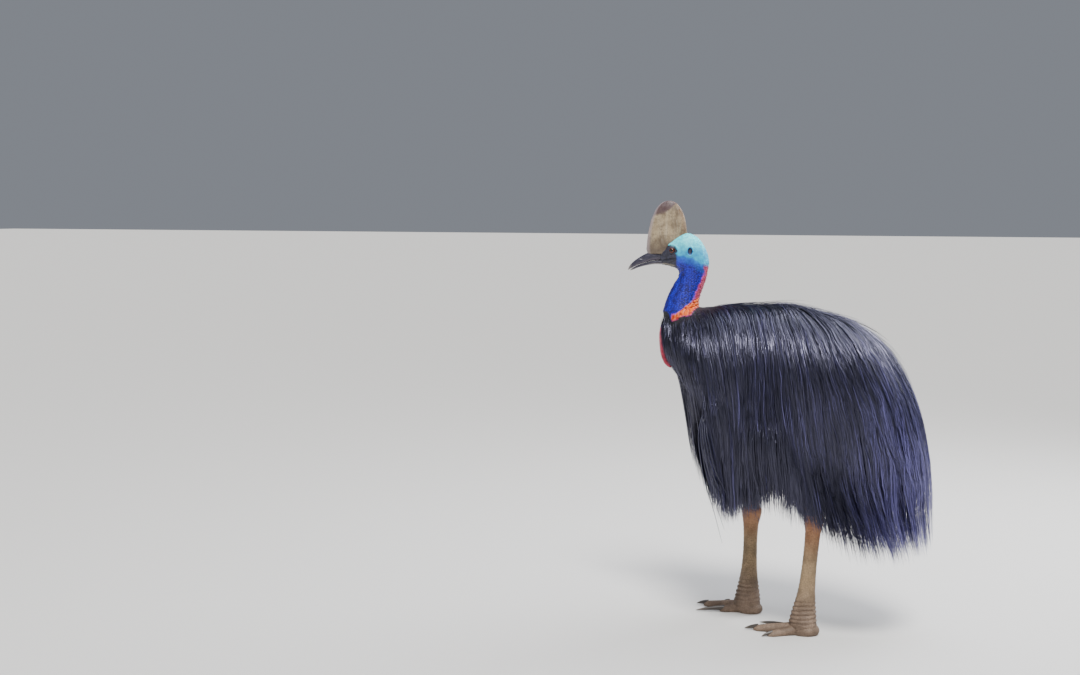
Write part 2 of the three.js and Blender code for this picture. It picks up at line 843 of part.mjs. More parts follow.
// One of the two wattles: a hanging fold that swells towards its end.
function wattleSolid(side) {
  const sections = WATTLE.map(([y, z, half, depth]) => ({
    centre: new THREE.Vector3(side * WATTLE_OUT, y, z),
    side: new THREE.Vector3(half, 0, 0),
    front: new THREE.Vector3(0, -depth, 0),
  }));
  return sweep(sections, 10);
}

// A wing: the stub under the coat, with its bare quills hanging over the side of the breast.
function wingSolid(side, grow = 0) {
  const stub = WING_STUB.map(([x, y, z, r]) => ({
    centre: new THREE.Vector3(side * x, y, z),
    side: new THREE.Vector3(r * 0.55, 0, 0),
    front: new THREE.Vector3(0, r, 0),
  }));
  const pieces = [sweep(grow ? outset(stub, grow) : stub, 8)];
  const end = WING_STUB[WING_STUB.length - 2];
  for (let i = 0; i < QUILLS; i += 1) {
    const share = i / (QUILLS - 1);
    const path = [
      [end[0] + 2, end[1] - 16 + 22 * share, end[2] + 6],
      [180, -214 + 34 * share, 600],
      [180, -196 + 34 * share, 490 + 30 * share],
      [170, -164 + 34 * share, 380 + 70 * share],
      [158, -142 + 30 * share, 282 + 110 * share ** 0.7],
    ].map(([x, y, z]) => new THREE.Vector3(side * x, y, z));
    const curve = new THREE.CatmullRomCurve3(path);
    const steps = 5;
    const sections = [];
    for (let k = 0; k <= steps; k += 1) {
      const radius = k === steps ? 0 : 3.4 - 2.2 * (k / steps);
      sections.push({
        centre: curve.getPointAt(k / steps),
        side: new THREE.Vector3(radius, 0, 0),
        front: new THREE.Vector3(0, radius, 0),
      });
    }
    pieces.push(sweep(grow ? outset(sections, 1.4 * grow) : sections, 4));
  }
  return joined(pieces);
}

const sideName = (side) => (side > 0 ? "left" : "right");

// Assembly

const bird = new THREE.Group();
bird.name = "cassowary";
bird.position.y = MOVED_BACK;

function addPart(name, solid, finish) {
  const { numProp, numVert, vertProperties, triVerts } = solid.getMesh();
  const position = new Float32Array(numVert * 3);
  for (let i = 0; i < numVert; i += 1) {
    position.set(vertProperties.subarray(i * numProp, i * numProp + 3), i * 3);
  }
  const geometry = new THREE.BufferGeometry();
  geometry.setAttribute("position", new THREE.BufferAttribute(position, 3));
  geometry.setIndex(new THREE.BufferAttribute(triVerts, 1));
  geometry.computeVertexNormals();
  const mesh = new THREE.Mesh(geometry, new THREE.MeshStandardMaterial(MATERIALS[finish]));
  mesh.name = name;
  bird.add(mesh);
}

const headClear = sweep(outset(headSections(), GAP), HEAD_SIDES);
const bareSections = bareNeckSections();
const featheredSections = neckSections(FEATHERED_NECK);

// The neck: bare skin with its warty patch above, and short feathers below.
const bareNeck = joined([sweep(bareSections, HEAD_SIDES), ...caruncles(bareSections)]);
addPart("neck_upper", largest(bareNeck.subtract(headClear)), "blueSkin");
const bareClear = joined([sweep(outset(bareSections, GAP), HEAD_SIDES), ...caruncles(bareSections, GAP)]);
const lowerNeck = sweep(featheredSections, HEAD_SIDES).subtract(bareClear).subtract(trunkCore(GAP));
addPart("neck_lower", largest(lowerNeck), "plumage");
const neckClear = joined([sweep(outset(featheredSections, GAP), HEAD_SIDES), bareClear]);
for (const side of [1, -1]) {
  addPart(`wattle_${sideName(side)}`, largest(wattleSolid(side).subtract(neckClear)), "wattle");
}

// The trunk with its coat, cut clear of the neck, the wings and the sleeve round each thigh.
const legList = Object.entries(LEGS);
const wingClears = [1, -1].map((side) => wingSolid(side, GAP));
const sleeves = legList.map(([, leg]) => thighSleeve(leg, SLEEVE));
const coatCuts = [neckClear, ...wingClears, ...sleeves];
for (const side of [1, -1]) {
  const wing = wingSolid(side);
  addPart(`wing_${sideName(side)}`, largest(wing.subtract(trunkCore(GAP))), "quill");
}
const coat = coatCuts.reduce((solid, cut) => solid.subtract(cut), coatSolid());
addPart("torso", largest(joined([trunkCore(), coat])), "plumage");

// The head, with the eyes in their sockets.
const eyes = [1, -1].map((side) => ({
  name: `eye_${sideName(side)}`,
  centre: headPoint(0, 0, side * EYE_OUT).toArray(),
}));
const sockets = eyes.map(({ centre }) => ball(centre, Array(3).fill(EYE_RADIUS + GAP), 0, 10, 6));
addPart("head", largest(headSolid(sockets)), "paleSkin");
eyes.forEach(({ name, centre }) => {
  addPart(name, ball(centre, Array(3).fill(EYE_RADIUS), 0, 10, 6), "eye");
});

const upperBill = sweep(billSections(UPPER_BILL), BILL_SIDES);
addPart("bill_upper", largest(nostrils(upperBill.subtract(headClear))), "bill");
const upperClear = sweep(outset(billSections(UPPER_BILL), GAP), BILL_SIDES);
const lowerBill = sweep(billSections(LOWER_BILL), BILL_SIDES);
addPart("bill_lower", largest(lowerBill.subtract(headClear).subtract(upperClear)), "bill");
addPart("casque", largest(casqueSolid().subtract(headClear).subtract(upperClear)), "casque");

// The legs.
legList.forEach(([name, leg]) => {
  const thigh = wingClears.reduce((solid, cut) => solid.subtract(cut), thighSolid(leg));
  addPart(`thigh_${name}`, largest(thigh), "plumage");
  addPart(`shank_${name}`, sweep(shankSections(leg), SHANK_SIDES), "legScale");
  addPart(`foot_${name}`, footSolid(leg), "legScale");
  Object.entries(TOES).forEach(([toeName, toe]) => {
    addPart(`claw_${name}_${toeName}`, clawSolid(leg, toe), "claw");
  });
});

export default bird;
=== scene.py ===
"""A life-size southern cassowary, dressed: one skin, horny parts, eyes and a coat of hair-like feathers.

Metres. Places are measured as in the solids' source, from between the feet, and moved back at the end.
"""

import math

import bpy
import numpy as np
from mathutils import Matrix, Vector
from mathutils.kdtree import KDTree


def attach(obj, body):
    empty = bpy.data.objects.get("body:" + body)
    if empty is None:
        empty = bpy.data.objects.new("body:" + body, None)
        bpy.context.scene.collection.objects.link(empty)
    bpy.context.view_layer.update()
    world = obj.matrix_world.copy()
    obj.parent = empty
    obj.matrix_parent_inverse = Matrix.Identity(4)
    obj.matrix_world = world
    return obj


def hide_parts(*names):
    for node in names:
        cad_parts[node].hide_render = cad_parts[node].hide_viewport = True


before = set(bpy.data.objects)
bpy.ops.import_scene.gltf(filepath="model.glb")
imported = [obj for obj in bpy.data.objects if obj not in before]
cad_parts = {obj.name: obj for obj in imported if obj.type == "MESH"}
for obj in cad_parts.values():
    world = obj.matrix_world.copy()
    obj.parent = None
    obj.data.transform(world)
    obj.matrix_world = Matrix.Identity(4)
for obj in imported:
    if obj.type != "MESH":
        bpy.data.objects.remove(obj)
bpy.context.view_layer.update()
random = np.random.default_rng(7)

# Driving dimensions

MM = 0.001
MOVED_BACK = np.array([0.0, 0.010, 0.0])
HEAD_TURN = math.radians(19)
EYES_AT = np.array([3.5, -370.0, 1201.0]) * MM
# The eyes' radius and distance from the head's middle, and the folds of each lid, as rows of
# [half width, half height, distance out, thickness, ripple]: all but the ripple in millimetres.
EYE_RADIUS = 11.5
EYE_OUT = 25
LIDS = [[10.9, 9.4, 31.6, 2.0, 0], [14.6, 12.8, 29.6, 2.3, 0.08]]
SKIN_DEPTH = 7 * MM
NECK_COAT = 11 * MM

# The trunk as blended ellipsoids: centre and half sizes.
TRUNK = [
    ((0, -10, 818), (165, 285, 215)),
    ((0, 174, 768), (142, 202, 204)),
    ((0, -170, 842), (124, 142, 170)),
]
TRUNK_BLEND = 70 * MM
NECK_BLEND = 50 * MM
SPINE = (-170 * MM, 170 * MM, 815 * MM)

# Head and neck profile. Rows of [forward, up] at the throat, [forward, up] at the crown, and half width.
HEAD_PROFILE = [
    [[37, -45], [40, 3], 15],
    [[22, -48], [26, 19], 22],
    [[4, -52], [4, 36], 30],
    [[-12, -57], [-22, 49], 36],
    [[-19, -62], [-52, 55], 40],
    [[-23, -70], [-84, 40], 42],
    [[-24, -77], [-107, 8], 42.5],
    [[-21, -84], [-119, -27], 42],
]
# Rows of [y, z] at the front, [y, z] at the back, half width and x.
BARE_NECK = [
    [[-350, 1112], [-260, 1146], 41, -18],
    [[-365, 1090], [-265, 1112], 40.5, -16],
    [[-379, 1063], [-274, 1080], 41, -12],
    [[-392, 1030], [-284, 1046], 43, -7],
    [[-401, 997], [-287, 1010], 47, -3],
]
FEATHERED_NECK = [
    [[-404, 986], [-285, 1003], 49.5, -2],
    [[-407, 952], [-276, 1003], 56, -1],
    [[-398, 910], [-260, 1005], 70, 0],
    [[-379, 862], [-238, 1012], 88, 0],
    [[-346, 795], [-200, 1020], 106, 0],
    [[-270, 735], [-110, 1020], 116, 0],
]

# How far the coat leans back for each step down, and the height that its tips reach, both by y.
LEAN = [
    [-340, 0.40],
    [-280, 0.34],
    [-220, 0.32],
    [-170, 0.26],
    [-110, 0.10],
    [0, 0.06],
    [120, 0.16],
    [250, 0.32],
    [400, 0.38],
    [440, 0.33],
    [468, 0.24],
    [488, 0.06],
    [500, -0.2],
]
HEM = [
    [-330, 600],
    [-300, 540],
    [-262, 470],
    [-215, 400],
    [-150, 350],
    [-60, 385],
    [0, 410],
    [80, 385],
    [160, 352],
    [215, 300],
    [280, 262],
    [400, 266],
    [470, 290],
    [505, 370],
]
# Feather length by how far round the trunk it grows: elevation in degrees, length.
COAT_LENGTH = [
    [-90, 260],
    [-60, 330],
    [-40, 430],
    [-18, 480],
    [3, 470],
    [24, 420],
    [45, 370],
    [66, 310],
    [84, 240],
]

# Each leg as rows of [x, y, z, radius] down the thigh and [x, y, z, half width, half depth] down the shank.
LEGS = {
    "left": {
        "side": 1,
        "thigh": [[76, -12, 655, 86], [83, 50, 535, 64], [89, 112, 425, 41], [90, 132, 392, 31]],
        "shank": [
            [90, 136, 380, 27, 31],
            [90, 135, 356, 25, 28],
            [90, 132, 325, 20, 23],
            [90, 127, 268, 19, 21.5],
            [90, 121, 205, 19.5, 22],
            [90, 116, 150, 22, 25],
            [90, 111, 104, 27, 31],
            [90, 106, 62, 33, 38],
            [90, 104, 34, 36, 42],
            [90, 104, 8, 34, 40],
        ],
        "foot": [90, 104],
        "turn": math.radians(7),
    },
    "right": {
        "side": -1,
        "thigh": [[-76, -116, 655, 86], [-83, -128, 525, 64], [-88, -124, 400, 42], [-90, -119, 362, 31]],
        "shank": [
            [-90, -117, 348, 27, 31],
            [-90, -118, 324, 26, 29],
            [-90, -120, 295, 21, 24],
            [-90, -121, 246, 19, 21.5],
            [-90, -122, 196, 19.5, 22],
            [-90, -124, 146, 22, 25],
            [-90, -126, 102, 27, 31],
            [-90, -128, 62, 33, 38],
            [-90, -130, 34, 36, 42],
            [-90, -130, 8, 34, 40],
        ],
        "foot": [-90, -130],
        "turn": math.radians(-7),
    },
}
# Toes: turn in degrees, length, half width, height, claw length, claw radius.
TOES = {
    "middle": (0, 150, 17, 27, 44, 9),
    "outer": (31, 112, 14.5, 24, 36, 8),
    "inner": (-29, 84, 15, 26, 96, 9.5),
}
# Rows of [forward, top, bottom, half width].
UPPER_BILL = [
    [26, 6, -30, 15],
    [38, 2, -31.5, 14.5],
    [60, -2, -33.5, 13],
    [84, -11, -39, 10.5],
    [104, -22, -45, 8.5],
    [120, -33, -52, 6.8],
    [134, -45, -59.5, 4.6],
    [141, -55, -63.5, 2.8],
    [144, -65, -65.5, 0.6],
]
LOWER_BILL = [
    [20, -32, -43, 11],
    [30, -31.8, -45.5, 12.6],
    [38, -31.8, -46.2, 13],
    [60, -34, -46, 11.5],
    [88, -40.5, -51, 8.5],
    [112, -49, -57.5, 6.2],
    [129, -58, -64.5, 3.8],
    [138, -65.5, -66.3, 0.6],
]
# The helmet, from the base up: rows of [front forward, back forward, up, half width].
CASQUE = [
    [80, -50, -12, 18],
    [83, -50, 6, 20.5],
    [82, -50, 22, 21],
    [79, -49, 46, 20.5],
    [74, -46.5, 76, 18.5],
    [66, -40, 106, 16],
    [55, -30, 132, 13],
    [41, -18, 149, 9],
    [30, -8, 156.5, 6],
    [18, 6, 161, 1.5],
]
# Each wattle, from the top down: rows of [y, z, half width, half depth], and how far out it hangs.
WATTLE = [
    [-384, 985, 4, 6],
    [-393, 965, 5, 8],
    [-400, 930, 6, 9.5],
    [-398, 895, 7.5, 11],
    [-391, 862, 9.5, 13],
    [-382, 838, 10.5, 13.5],
    [-375, 823, 8, 9.5],
    [-370.5, 815.5, 1, 1],
]
WATTLE_OUT = 11.8
QUILLS = 5

# Where the hind neck's bare skin ends, as rows of [z, y], and the neck's middle, as rows of [z, x, y].
HIND_NECK = [[990, -290], [1010, -287], [1046, -284], [1080, -274], [1112, -265], [1150, -200]]
NECK_MIDDLE = [
    [950, 0, -342],
    [1003, -3, -344],
    [1038, -7, -338],
    [1071, -12, -326],
    [1102, -16, -315],
    [1130, -17, -305],
]
# The ear's place forward and up from the eyes, and its half sizes.
EAR_AT = (-58, -2)
EAR_HALF = (9.0, 12.8)
# The lower edge of the pale skin, as rows of [forward, up] from the eyes.
PALE_LINE = [[-125, -58], [-110, -50], [-85, -37], [-58, -20], [-30, -17], [10, -11], [40, -4]]
# The lower edge of the casque's dark patch, as rows of [forward, up] from the eyes.
PATCH_LINE = [[-12, 150], [25, 122], [60, 112]]
# Centres of the trunk's rings below the bare neck, as rows of [y, z, angle down of the ring's front].
INNER_RINGS = [
    [-344, 1003, 8],
    [-342, 985, 14],
    [-336, 962, 24],
    [-322, 938, 34],
    [-300, 915, 42],
    [-268, 893, 50],
    [-225, 872, 57],
    [-170, 855, 64],
    [-105, 838, 74],
    [-40, 825, 84],
    [30, 812, 90],
    [100, 800, 90],
    [170, 790, 90],
    [240, 782, 90],
    [295, 776, 90],
    [335, 772, 90],
    [356, 770, 90],
    [368, 769, 90],
]
# Each wing's stub as rows of [x, y, z, half width, half depth], and the room that the coat leaves
# for the wing as rows of [x, y, z, radius].
WING_STUB = [
    [98, -108, 822, 12, 20],
    [106, -118, 806, 13, 22],
    [126, -148, 772, 13, 24],
    [136, -182, 724, 10, 18],
    [140, -204, 684, 6, 10],
    [142, -209, 671, 1, 1],
]
WING_BULGE = [
    [104, -108, 820, 12],
    [124, -148, 772, 18],
    [138, -196, 695, 18],
    [146, -208, 630, 12],
    [146, -204, 560, 5],
    [144, -196, 500, 1],
]

# Points round a ring, and distances between rings
AROUND = 200
LEG_AROUND = 110
BILL_AROUND = 88
CLAW_AROUND = 28
FINE_RING = 1.2 * MM
INNER_RING = 5 * MM
# How often the search for a point just under the surface is halved
HALVINGS = 26
# Nothing goes lower than this, so the feet stand just on the floor.
FLOOR_GAP = 0.4 * MM

# Coat: feathers, steps along the way each grows and along its blade, and the shortest feather kept
FEATHERS = 22000
THIGH_FEATHERS = 1600
THIGH_STEPS = 5
GROWTH_STEPS = 26
FEATHER_STEPS = 24
SHORTEST_FEATHER = 12 * MM
BLADE_RIDGE = 0.4
MOST_TRIANGLES = 190000
# Each feather's patch on the coat's map, and where the trunk's skin and the two thighs lie on it
PATCH = 0.003
TRUNK_TILE = (0.01, 0.01, 0.78, 0.98)
THIGH_TILES = {"left": (0.81, 0.01, 0.08, 0.98), "right": (0.91, 0.01, 0.08, 0.98)}

LIT_MIDDLE = (0, 0, 0.75)
CAMERA_AT = (4.6558, 1.2575, 1.35)
CAMERA_AHEAD = (-0.90855, -0.40833, -0.08837)

# Small helpers


def unit(v):
    return v / np.maximum(np.linalg.norm(v, axis=-1, keepdims=True), 1e-9)


def smoothstep(x, low, high):
    t = np.clip((x - low) / (high - low), 0, 1)
    return t * t * (3 - 2 * t)


def along(table, x, column=1):
    """Straight lines through a column of a table, whose first column is in millimetres; x is in metres."""
    rows = np.asarray(table, float)
    return np.interp(x, rows[:, 0] * MM, rows[:, column])


def spline(rows, t):
    """Rows interpolated by a smooth curve through them. t counts rows from 0."""
    rows = np.asarray(rows, float)
    padded = np.vstack([2 * rows[0] - rows[1], rows, 2 * rows[-1] - rows[-2]])
    i = np.clip(np.floor(t).astype(int), 0, len(rows) - 2)
    f = (np.asarray(t) - i)[..., None]
    a, b, c, d = padded[i], padded[i + 1], padded[i + 2], padded[i + 3]
    return 0.5 * (2 * b + (c - a) * f + (2 * a - 5 * b + 4 * c - d) * f**2 + (3 * b - a - 3 * c + d) * f**3)


def even_steps(rows, columns, spacing):
    """Counts along rows so that points made of these columns move by about one spacing each step."""
    fine = np.linspace(0, len(rows) - 1, 4000)
    path = spline(rows, fine)
    moved = np.mean([np.linalg.norm(np.diff(path[:, c], axis=0), axis=1) for c in columns], axis=0)
    total = np.concatenate([[0], np.cumsum(moved)])
    count = max(int(total[-1] / spacing), 4)
    return np.interp(np.linspace(0, total[-1], count + 1), total, fine)


def drawn(rows, spacing, columns=(slice(0, 3),)):
    """The columns of a smooth curve through rows, in steps of about one spacing."""
    rows = np.array(rows, float)
    return spline(rows, even_steps(rows, columns, spacing)).T


def angles(count):
    return np.linspace(0, 2 * math.pi, count, endpoint=False)


def ring(count):
    """Cosines and sines of the angles round a ring, each as one row."""
    return np.cos(angles(count))[None], np.sin(angles(count))[None]


def hashed(cells, salt):
    """A number from 0 to 1 for each whole-numbered cell, in no order."""
    x, y, z = np.moveaxis(cells, -1, 0)
    h = x * 73856093 ^ y * 19349663 ^ z * 83492791 ^ (salt + 1) * 668265263
    h = (h ^ (h >> 13)) * 1274126177
    h = (h ^ (h >> 16)) & 0xFFFFF
    return h / 0xFFFFF


def noise(p, scale, salt=0):
    """Smooth noise from -1 to 1 at points."""
    q = p / scale
    base = np.floor(q).astype(np.int64)
    f = q - base
    f = f * f * (3 - 2 * f)
    total = 0
    for corner in np.ndindex(2, 2, 2):
        weight = np.prod([f[..., k] if corner[k] else 1 - f[..., k] for k in range(3)], axis=0)
        total = total + weight * hashed(base + np.array(corner), salt)
    return total * 2 - 1


def cells(p, scale, salt=0):
    """How far the nearest of scattered centres is, and how much farther the next, as shares of a cell."""
    q = p / scale
    base = np.floor(q).astype(np.int64)
    near = np.full(q.shape[:-1], 9.0)
    second = near.copy()
    for step in np.ndindex(3, 3, 3):
        cell = base + np.array(step) - 1
        centre = cell + np.stack([0.15 + 0.7 * hashed(cell, salt + k) for k in range(3)], axis=-1)
        away = np.linalg.norm(centre - q, axis=-1)
        second = np.minimum(second, np.maximum(near, away))
        near = np.minimum(near, away)
    return near, second - near


def scales(p, size, salt):
    """Small many-sided scales: 0 in the grooves between them, 1 on top."""
    return smoothstep(cells(p, size * MM, salt)[1], 0.02, 0.3)


def bulge(*offsets):
    """1 at a place, falling smoothly to 0 about one width away. Offsets are already divided by widths."""
    return np.exp(-sum(o**2 for o in offsets))


# Meshes


def new_object(name, points, faces, smooth=True):
    """A mesh object from points and a list of equal-sided face arrays."""
    mesh = bpy.data.meshes.new(name)
    points = np.asarray(points, np.float64).reshape(-1, 3) + MOVED_BACK
    mesh.vertices.add(len(points))
    mesh.vertices.foreach_set("co", points.astype(np.float32).ravel())
    corners = np.concatenate([f.ravel() for f in faces]).astype(np.int32)
    sides = np.concatenate([np.full(len(f), f.shape[1]) for f in faces])
    starts = np.concatenate([[0], np.cumsum(sides)[:-1]]).astype(np.int32)
    mesh.loops.add(len(corners))
    mesh.loops.foreach_set("vertex_index", corners)
    mesh.polygons.add(len(sides))
    mesh.polygons.foreach_set("loop_start", starts)
    mesh.polygons.foreach_set("use_smooth", np.full(len(sides), smooth))
    mesh.update(calc_edges=True)
    obj = bpy.data.objects.new(name, mesh)
    bpy.context.scene.collection.objects.link(obj)
    return obj


def ring_faces(rings, around):
    """Faces of a closed tube: squares between rings, and a fan to an extra point at each end."""
    k, i = np.meshgrid(np.arange(rings - 1), np.arange(around), indexing="ij")
    j = (i + 1) % around
    squares = np.stack([k * around + i, k * around + j, (k + 1) * around + j, (k + 1) * around + i], -1)
    at = np.arange(around)
    after = (at + 1) % around
    first, last = rings * around, rings * around + 1
    head = np.stack([after, at, np.full(around, first)], -1)
    base = (rings - 1) * around
    tail = np.stack([base + at, base + after, np.full(around, last)], -1)
    return [squares.reshape(-1, 4), np.concatenate([head, tail])]


def facing_out(points, faces, middle):
    """Faces turned so that the first lot face away from the middles of their rings."""
    a, b, c = (points[faces[0][:, k]] for k in range(3))
    if np.sum(np.cross(b - a, c - a) * (a - middle)) < 0:
        return [f[:, ::-1] for f in faces]
    return faces


def closed_tube(name, grid):
    """A closed mesh through a grid of points [rings, around, 3]."""
    rings, around = grid.shape[:2]
    points = np.concatenate([grid.reshape(-1, 3), [grid[0].mean(0)], [grid[-1].mean(0)]])
    middle = np.repeat(grid.mean(1)[:-1], around, axis=0)
    return new_object(name, points, facing_out(points, ring_faces(rings, around), middle))


def torus(name, grid):
    """A mesh through a grid that closes on itself both ways."""
    n, m = grid.shape[:2]
    i, j = np.meshgrid(np.arange(n), np.arange(m), indexing="ij")
    k, l = (i + 1) % n, (j + 1) % m
    squares = np.stack([i * m + j, k * m + j, k * m + l, i * m + l], -1).reshape(-1, 4)
    points = grid.reshape(-1, 3)
    return new_object(name, points, facing_out(points, [squares], np.repeat(grid.mean(1), m, axis=0)))


def level_rings(x, y, z, wide, deep, count):
    """Level oval rings in metres, from columns in millimetres. Each starts in front."""
    cos, sin = ring(count)
    columns = [x[:, None] + wide[:, None] * sin, y[:, None] - deep[:, None] * cos, z[:, None] + 0 * sin]
    return np.stack(columns, -1) * MM


def outward(grid):
    """Unit normals of a grid of rings, pointing out."""
    around = np.roll(grid, -1, axis=1) - np.roll(grid, 1, axis=1)
    ahead = np.gradient(grid, axis=0)
    normal = unit(np.cross(around, ahead))
    away = grid - grid.mean(1, keepdims=True)
    if np.sum(normal * away) < 0:
        normal = -normal
    return normal


def relieved(name, p, relief):
    """A closed mesh through a grid, pushed out by a relief in millimetres."""
    return closed_tube(name, p + outward(p) * (relief * MM)[..., None])


def on_floor(name, p):
    """A closed mesh through a grid, pressed flat where it would pass the floor."""
    p[..., 2] = np.maximum(p[..., 2], FLOOR_GAP)
    return closed_tube(name, p)


def coordinates(obj):
    """The points of an object's mesh, in the source's places."""
    flat = np.empty(len(obj.data.vertices) * 3, np.float32)
    obj.data.vertices.foreach_get("co", flat)
    return flat.reshape(-1, 3).astype(float) - MOVED_BACK


def paint(obj, **marks):
    """Numbers for each point of a mesh, which its material reads by name."""
    for name, values in marks.items():
        layer = obj.data.attributes.new(name, "FLOAT", "POINT")
        layer.data.foreach_set("value", np.asarray(values, np.float32).ravel())


def united(name, objects):
    """One closed surface from several closed meshes, which go."""
    first = objects[0]
    for other in objects[1:]:
        modifier = first.modifiers.new("join", "BOOLEAN")
        modifier.operation = "UNION"
        modifier.solver = "MANIFOLD"
        modifier.object = other
    graph = bpy.context.evaluated_depsgraph_get()
    mesh = bpy.data.meshes.new_from_object(first.evaluated_get(graph))
    result = bpy.data.objects.new(name, mesh)
    bpy.context.scene.collection.objects.link(result)
    for other in objects:
        bpy.data.objects.remove(other)
    mesh.polygons.foreach_set("use_smooth", np.ones(len(mesh.polygons), bool))
    return result


# Places on the head, and distances to the trunk, the neck, the thighs and the wings

HEAD_FORWARD = np.array([math.sin(HEAD_TURN), -math.cos(HEAD_TURN), 0.0])
HEAD_LEFT = np.array([math.cos(HEAD_TURN), math.sin(HEAD_TURN), 0.0])
UP = np.array([0.0, 0.0, 1.0])


def head_point(forward, up, left=0.0):
    """A point of the head in millimetres forward of the eyes, up from them and to the bird's left."""
    forward, up, left = (np.asarray(v, float)[..., None] * MM for v in (forward, up, left))
    return EYES_AT + forward * HEAD_FORWARD + up * UP + left * HEAD_LEFT


def head_place(p):
    """Forward, up and left of the eyes, in millimetres, of points."""
    d = p - EYES_AT
    return d @ HEAD_FORWARD / MM, d[..., 2] / MM, d @ HEAD_LEFT / MM


def blended_least(a, b, width):
    """The smaller of two distances, rounded off where they are within one width of each other."""
    h = np.maximum(width - np.abs(a - b), 0) / width
    return np.minimum(a, b) - h * h * width / 4


def trunk_distance(p):
    """Distance to the blended ellipsoids of the trunk, less than 0 inside."""
    least = None
    for at, half in TRUNK:
        d = p - np.array(at) * MM
        half = np.array(half) * MM
        k0 = np.linalg.norm(d / half, axis=-1)
        k1 = np.linalg.norm(d / half**2, axis=-1)
        distance = k0 * (k0 - 1) / np.maximum(k1, 1e-9)
        least = distance if least is None else blended_least(least, distance, TRUNK_BLEND)
    return least


def chain_distance(p, rows):
    """Distance to a chain of rows [x, y, z, radius across, radius along], in metres."""
    least = np.full(p.shape[:-1], 9.0)
    for a, b in zip(rows[:-1], rows[1:]):
        step = b[:3] - a[:3]
        t = np.clip((p - a[:3]) @ step / (step @ step), 0, 1)
        away = p - a[:3] - t[..., None] * step
        across = a[3] + t * (b[3] - a[3])
        deep = a[4] + t * (b[4] - a[4])
        away[..., 0] *= deep / across
        least = np.minimum(least, np.linalg.norm(away, axis=-1) - deep)
    return least


def neck_chain():
    """The feathered neck as a chain of rows under the surface of its coat."""
    rows = []
    for (fy, fz), (by, bz), half, x in FEATHERED_NECK:
        deep = math.hypot(fy - by, fz - bz) / 2
        rows.append([x, (fy + by) / 2, (fz + bz) / 2, half, min(deep, half * 1.25)])
    rows = np.array(rows) * MM
    rows[:, 3:] -= NECK_COAT
    return rows


NECK_CHAIN = neck_chain()
THIGH_CHAINS = {
    side: np.array([[x, y, z, r, r] for x, y, z, r in leg["thigh"]]) * MM for side, leg in LEGS.items()
}
WING_CHAINS = [np.array([[side * x, y, z, r, r] for x, y, z, r in WING_BULGE]) * MM for side in (1, -1)]


def body_distance(p):
    """Distance to the trunk and the feathered neck, less than 0 inside."""
    return blended_least(trunk_distance(p), chain_distance(p, NECK_CHAIN), NECK_BLEND)


def coat_obstacle(p):
    """Distance to the body, with room for the wings and for the thighs in their own short feathers."""
    thighs = [chain_distance(p, chain) - 20 * MM for chain in THIGH_CHAINS.values()]
    wings = [chain_distance(p, chain) for chain in WING_CHAINS]
    trunk = blended_least(body_distance(p), np.minimum(*wings), 60 * MM)
    return blended_least(trunk, np.minimum(*thighs), 70 * MM)


def slope(distance, p):
    """The way in which a distance grows fastest, at points."""
    shifts = 2 * MM * np.eye(3)
    return unit(np.stack([distance(p + shift) - distance(p - shift) for shift in shifts], -1))


# Skin: one surface from the bill's base over the head, neck and trunk to the rump, with the legs joined on


def bare_rows():
    """Rows of the head and bare neck: front point, back point, half width and the way to the left."""
    rows = []
    for low, high, half in HEAD_PROFILE:
        rows.append([*head_point(*low), *head_point(*high), half * MM, *HEAD_LEFT])
    last = len(BARE_NECK) - 1
    for i, ((fy, fz), (by, bz), half, x) in enumerate(BARE_NECK):
        turn = HEAD_TURN * (1 - i / last)
        aside = math.tan(turn) * (by - fy) / 2
        front, back = np.array([x + aside, fy, fz]) * MM, np.array([x - aside, by, bz]) * MM
        rows.append([*front, *back, half * MM, math.cos(turn), math.sin(turn), 0])
    return rows


def cast(centre, direction):
    """How far each ray goes from inside the body to just under its surface."""
    near = np.zeros(direction.shape[:-1])
    far = np.full(near.shape, 0.5)
    for _ in range(HALVINGS):
        middle = (near + far) / 2
        inside = body_distance(centre + direction * middle[..., None]) < -SKIN_DEPTH
        near = np.where(inside, middle, near)
        far = np.where(inside, far, middle)
    return near


def body_grid():
    """Rings of points: the head and bare neck by their profile, the rest just under the coat."""
    found = drawn(bare_rows(), FINE_RING, [slice(0, 3), slice(3, 6)]).T
    front, back, half, left = found[:, 0:3], found[:, 3:6], found[:, 6:7], unit(found[:, 7:10])
    centre, reach = (front + back) / 2, (front - back) / 2
    cos, sin = (values[..., None] for values in ring(AROUND))
    bare = centre[:, None] + cos * reach[:, None] + sin * (left * half)[:, None]

    y, z, tilt = drawn(np.array(INNER_RINGS) * [MM, MM, 1], INNER_RING, [slice(0, 2)])
    middle = np.stack([np.zeros(len(y)), y, z], -1)
    tilt = np.radians(tilt)
    ahead = np.stack([np.zeros(len(y)), -np.cos(tilt), -np.sin(tilt)], -1)
    rays = cos * ahead[:, None] + sin * np.array([1.0, 0, 0])
    inner = middle[:, None] + rays * cast(middle[:, None], rays)[..., None]
    return bare, inner


def bare_share(p):
    """1 on bare skin of the head and neck, 0 below the line where the neck's feathers start."""
    above = smoothstep(p[..., 2] - feather_line(p), -4 * MM, 4 * MM)
    return above * smoothstep(p[..., 1] - along(HIND_NECK, p[..., 2]) * MM, 8 * MM, 3 * MM)


def neck_angle(p):
    """Cosine of the way round the neck: 1 in front, -1 behind."""
    middle = [along(NECK_MIDDLE, p[..., 2], column) * MM for column in (1, 2)]
    d = p[..., :2] - np.stack(middle, -1)
    return -d[..., 1] / np.maximum(np.linalg.norm(d, axis=-1), 1e-6)


